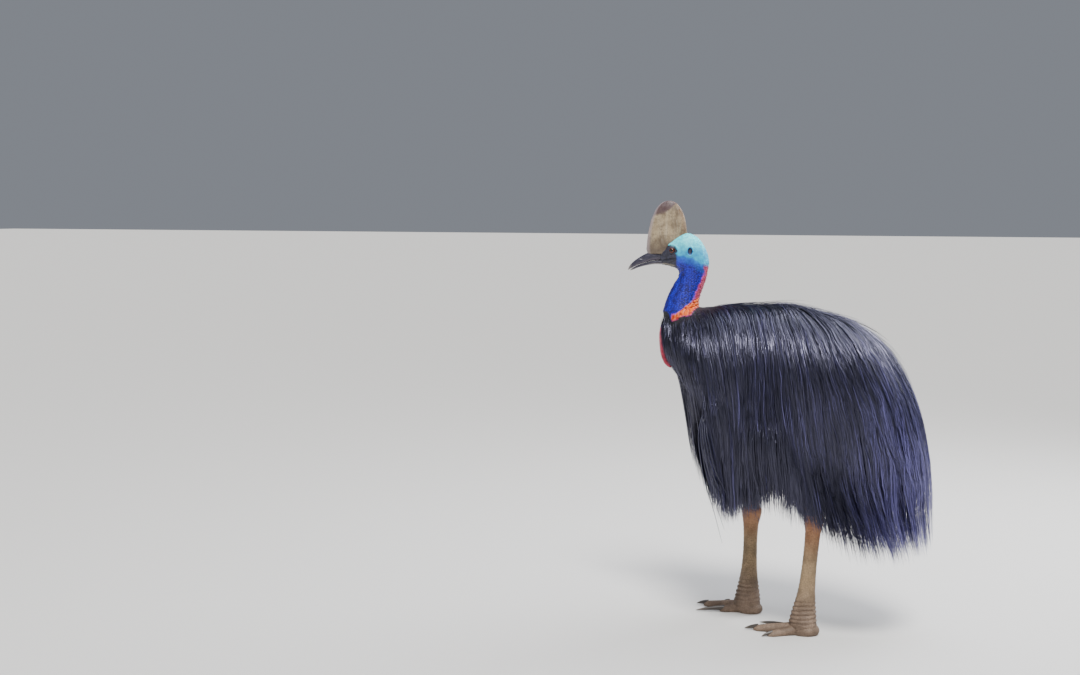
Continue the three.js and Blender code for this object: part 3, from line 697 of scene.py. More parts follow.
def feather_line(p):
    """The height at which the neck's feathers start."""
    cos = neck_angle(p)
    line = 0.974 + 0.038 * np.maximum(-cos, 0) ** 1.4 + 0.026 * smoothstep(cos, 0.22, 0.6)
    return line + 0.003 * noise(p, 0.012, 5)


def wart_share(p):
    """1 on the orange warty patch above the feathers of the hind neck."""
    above = p[..., 2] - feather_line(p)
    cos = neck_angle(p)
    width = 0.036 - 0.013 * smoothstep(cos, -1, 0.2)
    edge = smoothstep(above + 0.003 * noise(p, 0.009, 8), width, width - 0.005)
    return edge * smoothstep(cos, 0.32, 0.12) * bare_share(p)


def stripe_share(p):
    """1 on the pink-red stripe down the hind neck, from the nape to the warts."""
    cos = neck_angle(p)
    z = p[..., 2]
    wide = -0.91 + 0.07 * smoothstep(z, 1.13, 1.04)
    side = smoothstep(cos + 0.05 * noise(p, 0.011, 9), wide, wide - 0.07)
    return side * smoothstep(z, 1.175, 1.145) * smoothstep(z, 1.0, 1.01)


def ear_distance(forward, up):
    """Distance from the middle of the ear, 1 at its rim."""
    return np.hypot((forward - EAR_AT[0]) / EAR_HALF[0], (up - EAR_AT[1]) / EAR_HALF[1])


def on_side(left):
    """1 on the sides of the head, 0 along its middle."""
    return smoothstep(np.abs(left), 12, 22)


def face_relief(p):
    """How far the folds of the face stand out, in metres."""
    forward, up, left = head_place(p)
    away = np.hypot(forward, up / 0.94)
    # The rim round the eye and the socket, the brow, the cheek, and the hollow behind the eye
    relief = 1.6 * bulge((away - 17.5) / 3.4) - 3.2 * bulge(away / 11.5)
    relief += 2.2 * bulge((forward - 4) / 15, (up - 19) / 5.5)
    relief += 2.4 * bulge((forward + 30) / 20, (up + 26) / 14)
    relief -= 1.5 * bulge((forward + 30) / 9, (up - 3) / 16)
    # The line of the mouth, which runs on from the bill to under the eye between two lips
    line = up + 31.5 - 0.15 * np.maximum(30 - forward, 0)
    lips = bulge((line - 4) / 2.6) + bulge((line + 4) / 2.6)
    relief += (lips - 2.4 * bulge(line / 1.5)) * smoothstep(forward, -17, -8)
    # The ear: a raised rim round an opening
    ear = ear_distance(forward, up)
    relief += 2.2 * bulge((ear - 1.15) / 0.3) - 6.0 * smoothstep(ear, 1.0, 0.4)
    return relief * on_side(left) * MM


def skin_relief(p):
    """The relief of bare skin: the face, and the wrinkles, folds and warts of the neck."""
    up = head_place(p)[1]
    bare, warts, stripe = bare_share(p), wart_share(p), stripe_share(p)
    neck = smoothstep(up, -20, -48) * bare
    pebbles = 1.1 * (0.62 - cells(p, 4.2 * MM, 11)[0])
    wrinkles = 3.6 * np.minimum(cells(p * np.array([1, 1, 1.9]), 9 * MM, 21)[1], 0.35)
    cos = neck_angle(p)
    folds = np.sin(np.arccos(np.clip(cos, -1, 1)) * 9 + 2.5 * noise(p, 0.03, 51))
    plain = neck * (0.95 * pebbles + 0.75 * wrinkles + 0.35 * folds * smoothstep(cos, -0.5, 0.6))
    plain += stripe * (1.6 + 2.6 * (0.6 - cells(p, 6.5 * MM, 41)[0]))
    domes = 0.8 + 6.4 * np.sqrt(np.maximum(0.5 - cells(p, 8.4 * MM, 31)[0] ** 2, 0))
    crown = 0.35 * (0.55 - cells(p, 2.6 * MM, 61)[0]) + 0.5 * noise(p, 0.012, 71)
    relief = (1 - warts) * plain + warts * domes + bare * (1 - neck) * crown
    return face_relief(p) * smoothstep(up, -95, -60) + relief * MM


def body_skin():
    """The skin of the head, neck and trunk, and the rings under its coat."""
    bare, inner = body_grid()
    grid = np.concatenate([bare, inner[3:]])
    # The narrowing under the first feathers is spread over a few rings.
    seam = len(bare)
    for _ in range(12):
        part = grid[seam - 8 : seam + 6]
        part[1:-1] = (part[:-2] + part[2:] + 2 * part[1:-1]) / 4
    top = seam + 10
    relief, warts = skin_relief(grid[:top]), wart_share(grid[:top])
    # The ridge mark, the height of this relief, is read by the bare skin's colour as painted shade in the
    # grooves and painted highlight on the ridges and warts.
    ridge = np.zeros(grid.shape[:2])
    ridge[:top] = smoothstep(relief / MM, 0.2 + 1.2 * warts, 1.7 + 3.2 * warts)
    grid[:top] += outward(grid)[:top] * relief[..., None]
    obj = closed_tube("trunk_skin", grid)
    paint(obj, ridge=np.append(ridge, [0, 0]))
    return obj, inner


def lids():
    """Two folds of skin round each eye, which close on it a little from above and below."""
    turn, bend = np.meshgrid(angles(72), angles(14), indexing="ij")
    made = []
    for side in (1, -1):
        for wide, tall, out, thick, ripple in LIDS:
            size = thick * (1 + ripple * np.sin(turn * 11 + out)) * (1 + 0.25 * np.maximum(np.sin(turn), 0))
            forward = (wide + size * np.cos(bend)) * np.cos(turn)
            up = (tall + size * np.cos(bend)) * np.sin(turn)
            left = side * (out + size * np.sin(bend) - 0.02 * forward)
            made.append(torus("lid", head_point(forward, up, left)))
    return made


def wattle(side):
    """One hanging fold of the throat."""
    y, z, half, deep = (column[:, None] for column in drawn(WATTLE, 1.6, [slice(0, 2)]))
    cos, sin = ring(64)
    across = side * WATTLE_OUT + np.maximum(half, 0.4) * sin * (1 - 0.25 * cos**2)
    p = np.stack([across, y - np.maximum(deep, 0.4) * cos, z + 0 * cos], -1) * MM
    wrinkles = np.minimum(cells(p * np.array([1, 1, 0.6]), 5.5 * MM, 81 + side)[1], 0.5)
    end = smoothstep(p[..., 2], 0.8155, 0.822)
    return relieved("wattle", p, (0.9 * wrinkles + 0.5 * noise(p, 0.02, 83)) * end)


# Legs


def leg_grid(leg):
    """Rings down the thigh and the bare shank to the sole."""
    thigh = [[x, y, z, r - 6, r - 6] for x, y, z, r in leg["thigh"]]
    return level_rings(*drawn(thigh + leg["shank"], 1.7), LEG_AROUND)


def leg_skin(leg):
    """A leg's skin: broad plates down the front, small scales elsewhere, and creases above the toes."""
    grid = leg_grid(leg)
    z, turn = grid[..., 2], angles(LEG_AROUND)[None]
    front = smoothstep(np.cos(turn), 0.25, 0.75)
    plate = (z / (15 * MM) + 0.25 * np.cos(turn * 2)) % 1
    plates = 2.4 * smoothstep(plate, 0, 0.16) * (0.55 + 0.45 * plate)
    small = 1.35 * scales(grid * np.array([1, 1, 0.85]), 7, 91)
    relief = (front * plates + (1 - front) * small) * smoothstep(z, 0.400, 0.385)
    creases = np.sin(z / MM * 0.46 + 0.9 * np.cos(turn) + noise(grid, 0.03, 95))
    low = smoothstep(z, 0.125, 0.09) * smoothstep(z, 0.02, 0.045)
    return relieved("leg", grid, relief + 1.4 * low * creases)


def toe_points(leg, turn, forward, spread, up):
    """Points in metres, from places along a toe, across it and up, in millimetres."""
    angle = leg["turn"] + leg["side"] * math.radians(turn)
    ahead = np.array([math.sin(angle), -math.cos(angle), 0.0])
    across = np.cross(UP, ahead)
    foot = np.array([*leg["foot"], 0.0])
    return (foot + forward[:, None, None] * ahead + spread[..., None] * across + up[..., None] * UP) * MM


def toe_skin(leg, toe):
    """One toe: plates step down its back to the claw, and pads lie under it."""
    turn, length, width, height, _, _ = toe
    forward = np.arange(-14, length + 6.1, 1.3)
    share = np.clip((forward - 20) / (length - 20), 0, 1)
    pads = 1 + 0.09 * np.sin(share * math.pi * 3)
    end = np.sqrt(np.clip((length + 8 - forward) / 16, 0.02, 1))
    wide = (width * 1.1 - 0.26 * width * share**2) * pads * end
    top = np.where(forward < 20, 46 - 0.16 * (forward + 8), height * (1.52 - 0.82 * share))
    tall = top * (0.35 + 0.65 * end) / 2 - 1
    plate = (forward / 8.5) % 1
    step = 1.5 * smoothstep(plate, 0, 0.22) * (0.5 + 0.5 * plate)
    cos, sin = ring(52)
    upper = smoothstep(cos, 0.1, 0.7)
    up = tall[:, None] * (1 + cos) - 2.0 + step[:, None] * upper
    spread = wide[:, None] * sin * (1 + 0.10 * np.maximum(-cos, 0))
    p = toe_points(leg, turn, forward, spread, up)
    small = 0.8 * scales(p, 5, 97) * (1 - upper)
    return on_floor("toe", p + outward(p) * (small * MM)[..., None])


def pad_skin(leg):
    """The broad scaly pad in the middle of a foot."""
    tilt, a = np.meshgrid(np.linspace(-88, 88, 46) * math.pi / 180, angles(96), indexing="ij")
    local = np.stack([37 * np.cos(tilt) * np.sin(a), 46 * np.cos(tilt) * np.cos(a), 26 * np.sin(tilt)], -1)
    cos, sin = math.cos(leg["turn"]), math.sin(leg["turn"])
    x, y = leg["foot"]
    p = (local @ np.array([[cos, sin, 0], [-sin, cos, 0], [0, 0, 1]]) + np.array([x, y + 6, 14.0])) * MM
    return on_floor("pad", p + unit(local) * (0.9 * MM * scales(p, 6, 98))[..., None])


def claw(leg, toe, name):
    """A nearly straight claw from the end of a toe."""
    turn, length, _, _, claw_length, radius = toe
    share = np.linspace(0, 1, 40)
    size = np.maximum(radius * (1 - share) ** 0.62, 0.25)
    rise = np.maximum(radius + 3 - 9 * share**2, size * 1.05 + 0.2)
    cos, sin = ring(CLAW_AROUND)
    spread = 0.85 * size[:, None] * sin * (1 - 0.18 * cos)
    up = rise[:, None] + size[:, None] * cos
    obj = closed_tube(name, toe_points(leg, turn, length - 9 + claw_length * share, spread, up))
    paint(obj, tip=np.append(np.repeat(share, CLAW_AROUND), [0, 1]))
    return obj


# Horn: bill and casque


def bill_grooves(forward, up, round_top):
    """The upper bill's relief in millimetres: a nostril slot in a groove, and a ridge along the top."""
    line = -11 - 0.42 * (forward - 60)
    slot = bulge((forward - 97) / 8, (up + 27.5) / 2.4)
    nasal = bulge((up - line + 4) / 3.2) * smoothstep(forward, 42, 52) * smoothstep(forward, 118, 104)
    ridge = bulge((round_top - 1) / 0.06) * smoothstep(forward, 135, 120)
    return 0.6 * ridge - 2.4 * slot - 0.9 * nasal


def bill_half(name, rows, upper):
    """The upper or lower half of the bill."""
    forward, top, bottom, half = (column[:, None] for column in drawn(rows, 0.9, [slice(0, 2)]))
    cos, sin = ring(BILL_AROUND)
    up = (top + bottom) / 2 + np.maximum((top - bottom) / 2, 0.35) * cos
    # The ridge is narrower than the cutting edges.
    squeeze = 1 - 0.16 * cos if upper else 1 + 0.14 * cos
    left = np.maximum(half, 0.4) * sin * squeeze
    share = (forward - forward[0]) / (forward[-1] - forward[0]) + 0 * cos
    forward = forward + 0 * cos
    p = head_point(forward, up, left)
    relief = 0.18 * noise(p * np.array([1, 1, 2.5]), 0.006, 101)
    if upper:
        relief += bill_grooves(forward, up, cos) * (np.abs(sin) > 0.1)
    obj = relieved(name, p, relief)
    paint(obj, tip=np.append(share, [0, 1]), low=np.append((1 - cos) / 2 + 0 * forward, [0.5, 0.5]))
    return obj


def casque():
    """The helmet: horn with a grain up it, small pits, and a swollen collar at its base."""
    front, back, up, half = drawn(CASQUE, 1.5, [slice(0, 1), slice(1, 2), slice(2, 3)])
    middle, reach = (front + back) / 2, np.maximum((front - back) / 2, 0.8)
    cos, sin = ring(150)
    # The sides are flatter than an oval's, and the leading edge is a keel.
    flat = 1 - 0.10 * np.maximum(cos, 0) ** 2 - 0.04 * np.maximum(-cos, 0) ** 2
    forward = middle[:, None] + reach[:, None] * cos
    p = head_point(forward, up[:, None] + 0 * cos, np.maximum(half, 0.8)[:, None] * sin * flat)
    tall = p * np.array([1, 1, 0.6])
    relief = 1.6 * noise(tall, 0.034, 111) + 0.8 * noise(p, 0.012, 112)
    relief += 0.4 * noise(p * np.array([1, 1, 0.22]), 0.0035, 113)
    relief -= 0.5 * smoothstep(cells(tall, 4.5 * MM, 114)[0], 0.34, 0.1)
    rise = smoothstep(up, 0, 20) * smoothstep(up, 161, 150)
    obj = relieved("casque_horn", p, relief * rise[:, None] + 1.2 * bulge((up[:, None] - 3) / 6))

    places = coordinates(obj)
    forward, high, _ = head_place(places)
    along_top = (forward - np.interp(high, up, middle)) / np.interp(high, up, reach)
    ragged = 6 * noise(places, 0.014, 115) + 3 * noise(places, 0.005, 116)
    edge = np.interp(forward, *np.transpose(PATCH_LINE))
    paint(
        obj,
        rise=np.clip(high / 160, 0, 1),
        keel=smoothstep(along_top, 0.78, 0.97),
        back=smoothstep(along_top, -0.6, -0.95),
        patch=smoothstep(high + 0.6 * ragged - edge, -5, 5),
    )
    return obj


def eye(side, name):
    """An eyeball with a slightly raised clear front."""
    tilt, turn = np.meshgrid(np.linspace(-89.5, 89.5, 60) * math.pi / 180, angles(72), indexing="ij")
    out = np.sin(tilt)
    size = EYE_RADIUS * (1 + 0.03 * smoothstep(out, 0.80, 0.97))
    # The pole of the rings looks out of the head and a little forward.
    axis = unit(np.array([0.22, 0.02, side * 1.0]))
    first = unit(np.cross(axis, [0, 1, 0.0]))
    second = np.cross(axis, first)
    ways = [(np.cos(tilt) * np.cos(turn), first), (np.cos(tilt) * np.sin(turn), second), (out, axis)]
    forward, up, left = np.moveaxis(sum((size * share)[..., None] * way for share, way in ways), -1, 0)
    obj = closed_tube(name, head_point(forward, up, left + side * EYE_OUT))
    paint(obj, out=np.append(out, [-1, 1]))
    return obj


# Wings: the bare quills of each flightless wing, hanging over the side of the breast


def quill_tube(side, share):
    """One of a wing's quills. Its share is 0 for the first of the fan and 1 for the last."""
    path = [
        [141, -214 + 14 * share, 694],
        [163, -219 + 22 * share, 650],
        [178, -216 + 34 * share, 600],
        [180, -197 + 36 * share, 490 + 30 * share],
        [171, -165 + 36 * share, 380 + 70 * share],
        [158, -142 + 30 * share, 282 + 110 * share**0.7],
    ]
    centre = drawn(path, 6).T * np.array([side, 1, 1])
    size = 0.3 + 2.0 * (1 - np.linspace(0, 1, len(centre))) ** 0.8
    ahead = unit(np.gradient(centre, axis=0))
    across = unit(np.cross(ahead, [1.0, 0, 0]))
    out = np.cross(across, ahead)
    cos, sin = (values[..., None] for values in ring(12))
    tube = centre[:, None] + size[:, None, None] * (cos * across[:, None] + sin * out[:, None])
    return closed_tube("quill", tube * MM)


def wing(side, name):
    """The stub of a wing with its quills."""
    x, y, z, wide, deep = drawn(WING_STUB, 4)
    pieces = [closed_tube("stub", level_rings(x * side, y, z, wide, deep, 30))]
    pieces += [quill_tube(side, i / (QUILLS - 1)) for i in range(QUILLS)]
    return united(name, pieces)


# Coat


def lie(p, normal):
    """The way that feathers hang: down, out from the spine on top, and back over the rump."""
    facing_up = np.maximum(normal[..., 2], 0)
    back = along(LEAN, p[..., 1]) * smoothstep(normal[..., 2], -1.1, 0.1)
    out = np.clip(p[..., 0] / 0.05, -1, 1) * 0.5 * facing_up
    return unit(np.stack([out, back + 0.5 * facing_up, -np.ones(len(p))], -1))


def grow(root, length, lift, hem, hug, sink):
    """Paths from roots: each slides over the body, rises from under its surface, and stops at the hem.

    A feather that hugs the body follows it inwards too, where others hang free.
    """
    p, normal = root, slope(coat_obstacle, root)
    heading = lie(p, normal)
    path, outwards = [p], [normal]
    for i in range(1, GROWTH_STEPS + 1):
        normal = slope(coat_obstacle, p)
        heading = unit(0.6 * heading + 0.4 * lie(p, normal))
        ahead = p + heading * (length / GROWTH_STEPS)[:, None]
        wanted = -sink + (lift + sink) * (i / GROWTH_STEPS)
        short = wanted - coat_obstacle(ahead)
        short = np.maximum(short, 0) + hug * np.clip(short, -6 * MM, 0)
        ahead = ahead + slope(coat_obstacle, ahead) * short[:, None]
        heading = unit(ahead - p)
        p = ahead
        path.append(p)
        outwards.append(normal)
    path, outwards = np.stack(path, 1), np.stack(outwards, 1)
    low = path[..., 2] < (along(HEM, path[..., 1]) * MM + hem[:, None])
    stop = np.where(low.any(1), low.argmax(1), GROWTH_STEPS).astype(float)
    return path, outwards, stop


def resample(path, stop, count):
    """Points at even shares of each path up to its stop."""
    share = np.linspace(0, 1, count + 1)
    at = share[None] * stop[:, None]
    i = np.minimum(np.floor(at).astype(int), path.shape[1] - 2)
    f = (at - i)[..., None]
    rows = np.arange(len(path))[:, None]
    return path[rows, i] * (1 - f) + path[rows, i + 1] * f


def blade_faces(rings):
    """Triangles of one three-sided blade, which ends in a point."""
    faces = [[0, 1, 2]]
    for k in range(0, 3 * (rings - 2), 3):
        for a in range(3):
            b = (a + 1) % 3
            faces += [[k + a, k + 3 + a, k + b], [k + b, k + 3 + a, k + 3 + b]]
    k = 3 * (rings - 2)
    return faces + [[k + a, k + 3, k + (a + 1) % 3] for a in range(3)]


def feathers(name, path, normal, width, depth, roll, chart, tone):
    """Closed three-sided blades along paths [n, steps + 1, 3], each mapped to its root's place."""
    n, rings = path.shape[:2]
    share = np.linspace(0, 1, rings)
    ahead = unit(np.gradient(path, axis=1))
    side = unit(np.cross(normal, ahead))
    out = np.cross(ahead, side)
    cos, sin = np.cos(roll)[:, None, None], np.sin(roll)[:, None, None]
    side, out = side * cos + out * sin, out * cos - side * sin
    across = (width[:, None] * (0.55 + 0.9 * share - 1.2 * share**2))[..., None]
    thick = (depth[:, None] * (1 - 0.6 * share))[..., None]
    body = np.stack([path - side * across, path + side * across, path + out * thick], 2)[:, :-1]
    points = np.concatenate([body.reshape(n, -1, 3), path[:, -1:]], 1)
    each = points.shape[1]
    faces = (np.arange(n)[:, None, None] * each + np.array(blade_faces(rings))).reshape(-1, 3)
    obj = new_object(name, points, [faces], smooth=False)
    down = np.append(np.repeat(share[:-1], 3), 1)
    patch = np.stack([np.append(np.tile([-0.5, 0.5, 0.0], rings - 1), 0), down - 0.5], -1) * PATCH
    place = (chart[:, None] + patch).reshape(-1, 2)
    layer = obj.data.uv_layers.new(name="OFBake")
    layer.data.foreach_set("uv", place[faces.ravel()].astype(np.float32).ravel())
    paint(obj, tone=np.repeat(tone, each), down=np.tile(down, n))
    return obj


def scatter(grid, weight, count, tile):
    """Random points on a grid of rings, even by area times weight, and their places on its map."""
    right = np.roll(grid, -1, axis=1)
    down = np.concatenate([grid[1:], grid[-1:]])
    area = np.linalg.norm(np.cross(right - grid, down - grid), axis=-1) * weight
    area[-1] = 0
    chance = area.ravel() / area.sum()
    i, j = np.divmod(random.choice(len(chance), count, p=chance), grid.shape[1])
    s, t = random.random(count)[:, None], random.random(count)[:, None]
    top = grid[i, j] * (1 - s) + right[i, j] * s
    low = grid[i + 1, j] * (1 - s) + right[i + 1, j] * s
    point = top * (1 - t) + low * t
    u0, v0, wide, tall = tile
    u = u0 + wide * (j + s[:, 0]) / grid.shape[1]
    v = v0 + tall * (i + t[:, 0]) / grid.shape[0]
    return point, np.stack([u, v], -1)


def clumped(path, root, per_clump, strength):
    """Pulls each path sideways towards a neighbour's, more and more to the tip, so that locks form."""
    guides = random.choice(len(path), max(len(path) // per_clump, 1), replace=False)
    tree = KDTree(len(guides))
    for i, g in enumerate(guides):
        tree.insert(Vector(root[g]), i)
    tree.balance()
    nearest = np.array([guides[tree.find(Vector(r))[1]] for r in root])
    pull = path[nearest] - path
    ahead = unit(np.gradient(path, axis=1))
    pull -= ahead * np.sum(pull * ahead, -1, keepdims=True)
    share = np.linspace(0, 1, path.shape[1])[None]
    return path + pull * (strength * smoothstep(share, 0.15, 1.0))[..., None]


def waves(path, normal, size):
    """Long soft waves to the side, shared by neighbours, with a little of each feather's own."""
    n, rings = path.shape[:2]
    ahead = unit(np.gradient(path, axis=1))
    side = unit(np.cross(normal, ahead))
    share = np.linspace(0, 1, rings)[None]
    shared = noise(path * np.array([1, 1, 0.6]), 0.042, 121)
    shared = shared + 0.6 * noise(path * np.array([1, 1, 0.8]), 0.017, 122)
    phase, pitch = random.random(n)[:, None] * 6, 7 + 6 * random.random(n)[:, None]
    own = random.normal(0, 1, n)[:, None] * share**2 * 0.5 + 0.35 * share * np.sin(share * pitch + phase)
    return path + side * ((shared * share + own) * size[:, None])[..., None]


def trunk_coat(grid, count):
    """The trunk's feathers as they grow: roots, map places, paths, normals, reach and three zones."""
    y, z = grid[..., 1], grid[..., 2]
    weight = 1.0 + 0.5 * smoothstep(z, 0.9, 1.0) + 0.6 * smoothstep(-y, 0.16, 0.26)
    root, chart = scatter(grid, weight * (1 - bare_share(grid)), count, TRUNK_TILE)
    x, y, z = root.T
    level = np.hypot(x, y - np.clip(y, SPINE[0], SPINE[1]))
    elevation = np.degrees(np.arctan2(z - SPINE[2], level))
    back = smoothstep(y, 0.12, 0.32)
    front = smoothstep(-y, 0.13, 0.27)
    neck = smoothstep(-chain_distance(root, NECK_CHAIN), -0.03, 0.0) * smoothstep(-y, 0.16, 0.26)
    up_neck = neck * smoothstep(z, 0.82, 0.98)
    length = np.interp(elevation, *np.transpose(COAT_LENGTH)) * MM
    length = length * (0.85 + 0.3 * random.random(count)) * (1 + 0.25 * back)
    breast = 0.30 + 0.45 * smoothstep(z, 0.81, 0.89)
    length = length * (1 - neck * breast) * (1 - 0.5 * up_neck)
    lift = (25 + 8 * back - 14 * front) * MM * (0.35 + 0.75 * random.random(count))
    lift = lift * (1 - neck) + neck * NECK_COAT * (0.55 + 0.45 * random.random(count))
    hem = random.random(count) ** 1.5 * 0.06 - 0.008 + 0.018 * noise(root, 0.03, 141)
    hug = neck * smoothstep(z, 0.81, 0.88)
    path, normal, stop = grow(root, length, lift, hem, hug, 4 * MM)
    reach = stop / GROWTH_STEPS * length
    path, normal = resample(path, stop, FEATHER_STEPS), unit(resample(normal, stop, FEATHER_STEPS))
    keep = reach > SHORTEST_FEATHER
    return [values[keep] for values in (root, chart, path, normal, reach, neck, up_neck, back)]


def coat_pieces(grid, count, most):
    """The trunk's feathers in several objects. Longer feathers have more steps."""
    root, chart, path, normal, reach, neck, up_neck, back = trunk_coat(grid, count)
    n = len(path)
    hanging = smoothstep(path[..., 2], 0.88, 0.55) * (1 - 0.6 * neck)[:, None]
    path = clumped(path, root, 7, (0.35 + 0.3 * back + 0.25 * random.random(n))[:, None] * hanging)
    hanging = smoothstep(path[..., 2], 0.75, 0.40) * (1 - 0.8 * neck)[:, None]
    path = clumped(path, root, 48, (0.15 + 0.35 * back + 0.15 * random.random(n))[:, None] * hanging)
    path = waves(path, normal, (0.005 + 0.010 * back) * (1 - 0.8 * neck))
    width = (0.85 + 0.65 * random.random(n)) * (1 - 0.45 * up_neck) * MM
    roll = random.normal(0, 0.35, n)
    # Painted shade: the feathers low on the middle of the belly are made darker.
    painted_belly_shade = bulge(root[:, 1] / 0.15) * smoothstep(root[:, 2], 0.93, 0.80)
    tone = 0.22 + (0.18 + 0.14 * back) * random.normal(0, 1, n)
    tone = np.clip(tone + 0.30 * noise(root, 0.011, 151) + 0.5 * back - 0.25 * painted_belly_shade, 0, 1)
    order = np.argsort(chart[:, 1] // 0.07 * 10 + chart[:, 0])
    group = np.where(reach < 0.11, 6, np.where((back > 0.05) & (reach > 0.2), 2, 3))
    pieces = []
    for stride in (6, 3, 2):
        picked = order[group[order] == stride]
        each = 6 * (FEATHER_STEPS // stride) - 2
        for part in np.array_split(picked, math.ceil(len(picked) * each / most)):
            line, out = path[part, ::stride], normal[part, ::stride]
            looks = (width[part], width[part] * BLADE_RIDGE, roll[part], chart[part], tone[part])
            pieces.append(feathers(f"plumage_{len(pieces) + 1}", line, out, *looks))
    return pieces


def thigh_coat(side, count):
    """Short feathers down a thigh, which end over the top of the shank."""
    grid, chain = leg_grid(LEGS[side]), THIGH_CHAINS[side]
    top, ankle = chain[0, 2], chain[-1, 2]
    weight = smoothstep(grid[..., 2], ankle - 0.012, ankle - 0.002)
    weight = weight * smoothstep(grid[..., 2], top - 0.02, top - 0.05)
    root, chart = scatter(grid, weight, count, THIGH_TILES[side])

    def distance(p):
        return chain_distance(p, chain)

    share = smoothstep(root[:, 2], ankle, top)
    length = (0.045 + 0.09 * share) * (0.8 + 0.4 * random.random(count))
    lift = (5 + 9 * random.random(count)) * MM
    axis = np.interp(root[:, 2], chain[::-1, 2], np.gradient(chain[::-1, 1], chain[::-1, 2]))
    heading = unit(np.stack([0 * axis, -axis * 0.8, -np.ones(count)], -1))
    path = [root]
    for i in range(1, THIGH_STEPS + 1):
        p = path[-1] + heading * (length / THIGH_STEPS)[:, None]
        wanted = -0.006 + (lift + 0.006) * i / THIGH_STEPS
        short = np.where(p[:, 2] < ankle, 0, np.maximum(wanted - distance(p), 0))
        path.append(p + slope(distance, p) * short[:, None])
    outwards = np.repeat(slope(distance, root)[:, None], THIGH_STEPS + 1, axis=1)
    path = clumped(np.stack(path, 1), root, 5, 0.3 + 0.3 * random.random(count)[:, None])
    width = (0.7 + 0.5 * random.random(count)) * MM
    tone = np.clip(0.3 + 0.2 * random.normal(0, 1, count), 0, 1)
    roll = random.normal(0, 0.3, count)
    return feathers(f"thigh_feathers_{side}", path, outwards, width, width * BLADE_RIDGE, roll, chart, tone)


# Materials


class Nodes:
    """Adds nodes to a material and joins them in one line each."""

    def __init__(self, name):
        self.material = bpy.data.materials.new(name)
        self.material.use_nodes = True
        self.tree = self.material.node_tree
        self.shader = self.tree.nodes["Principled BSDF"]

    def add(self, kind, inputs=None, **settings):
        node = self.tree.nodes.new(kind)
        for key, value in settings.items():
            setattr(node, key, value)
        for key, value in (inputs or {}).items():
            self.put(node.inputs[key], value)
        return node

    def put(self, socket, value):
        if isinstance(value, bpy.types.NodeSocket):
            self.tree.links.new(value, socket)
        else:
            socket.default_value = value

    def set(self, **values):
        """Colours and numbers for the shader's own sockets, some by way of nodes and some fixed."""
        for key, value in values.items():
            self.put(self.shader.inputs[key.replace("_", " ")], value)

    def mask(self, name):
        return self.add("ShaderNodeAttribute", attribute_name=name).outputs["Fac"]

    def place(self, stretch):
        place = self.add("ShaderNodeTexCoord").outputs["Object"]
        if stretch is None:
            return place
        return self.add("ShaderNodeMapping", {"Vector": place, "Scale": stretch}).outputs["Vector"]

    def noise(self, scale, detail=4.0, rough=0.6, stretch=None):
        inputs = {"Vector": self.place(stretch), "Scale": scale, "Detail": detail, "Roughness": rough}
        return self.add("ShaderNodeTexNoise", inputs).outputs["Fac"]

    def spots(self, scale, feature="F1", stretch=None):
        inputs = {"Vector": self.place(stretch), "Scale": scale}
        return self.add("ShaderNodeTexVoronoi", inputs, feature=feature).outputs["Distance"]

    def span(self, value, low, high, to_low=0.0, to_high=1.0):
        inputs = {"Value": value, "From Min": low, "From Max": high, "To Min": to_low, "To Max": to_high}
        return self.add("ShaderNodeMapRange", inputs, interpolation_type="SMOOTHSTEP").outputs["Result"]

    def mix(self, share, a, b):
        node = self.add("ShaderNodeMix", data_type="RGBA")
        self.put(node.inputs["Factor"], share)
        self.put(node.inputs["A"], a if isinstance(a, bpy.types.NodeSocket) else (*a, 1))
        self.put(node.inputs["B"], b if isinstance(b, bpy.types.NodeSocket) else (*b, 1))
        return node.outputs["Result"]

    def between(self, value, a, b, low=0.3, high=0.7):
        """One colour up to a low value and the other from a high one."""
        return self.mix(self.span(value, low, high), a, b)

    def math(self, operation, a, b):
        node = self.add("ShaderNodeMath", operation=operation)
        self.put(node.inputs[0], a)
        self.put(node.inputs[1], b)
        return node.outputs["Value"]

    def times(self, value, share):
        return self.math("MULTIPLY", value, share)

    def bump(self, height, distance, strength=1.0):
        node = self.add("ShaderNodeBump", {"Height": height, "Distance": distance, "Strength": strength})
        self.put(self.shader.inputs["Normal"], node.outputs["Normal"])


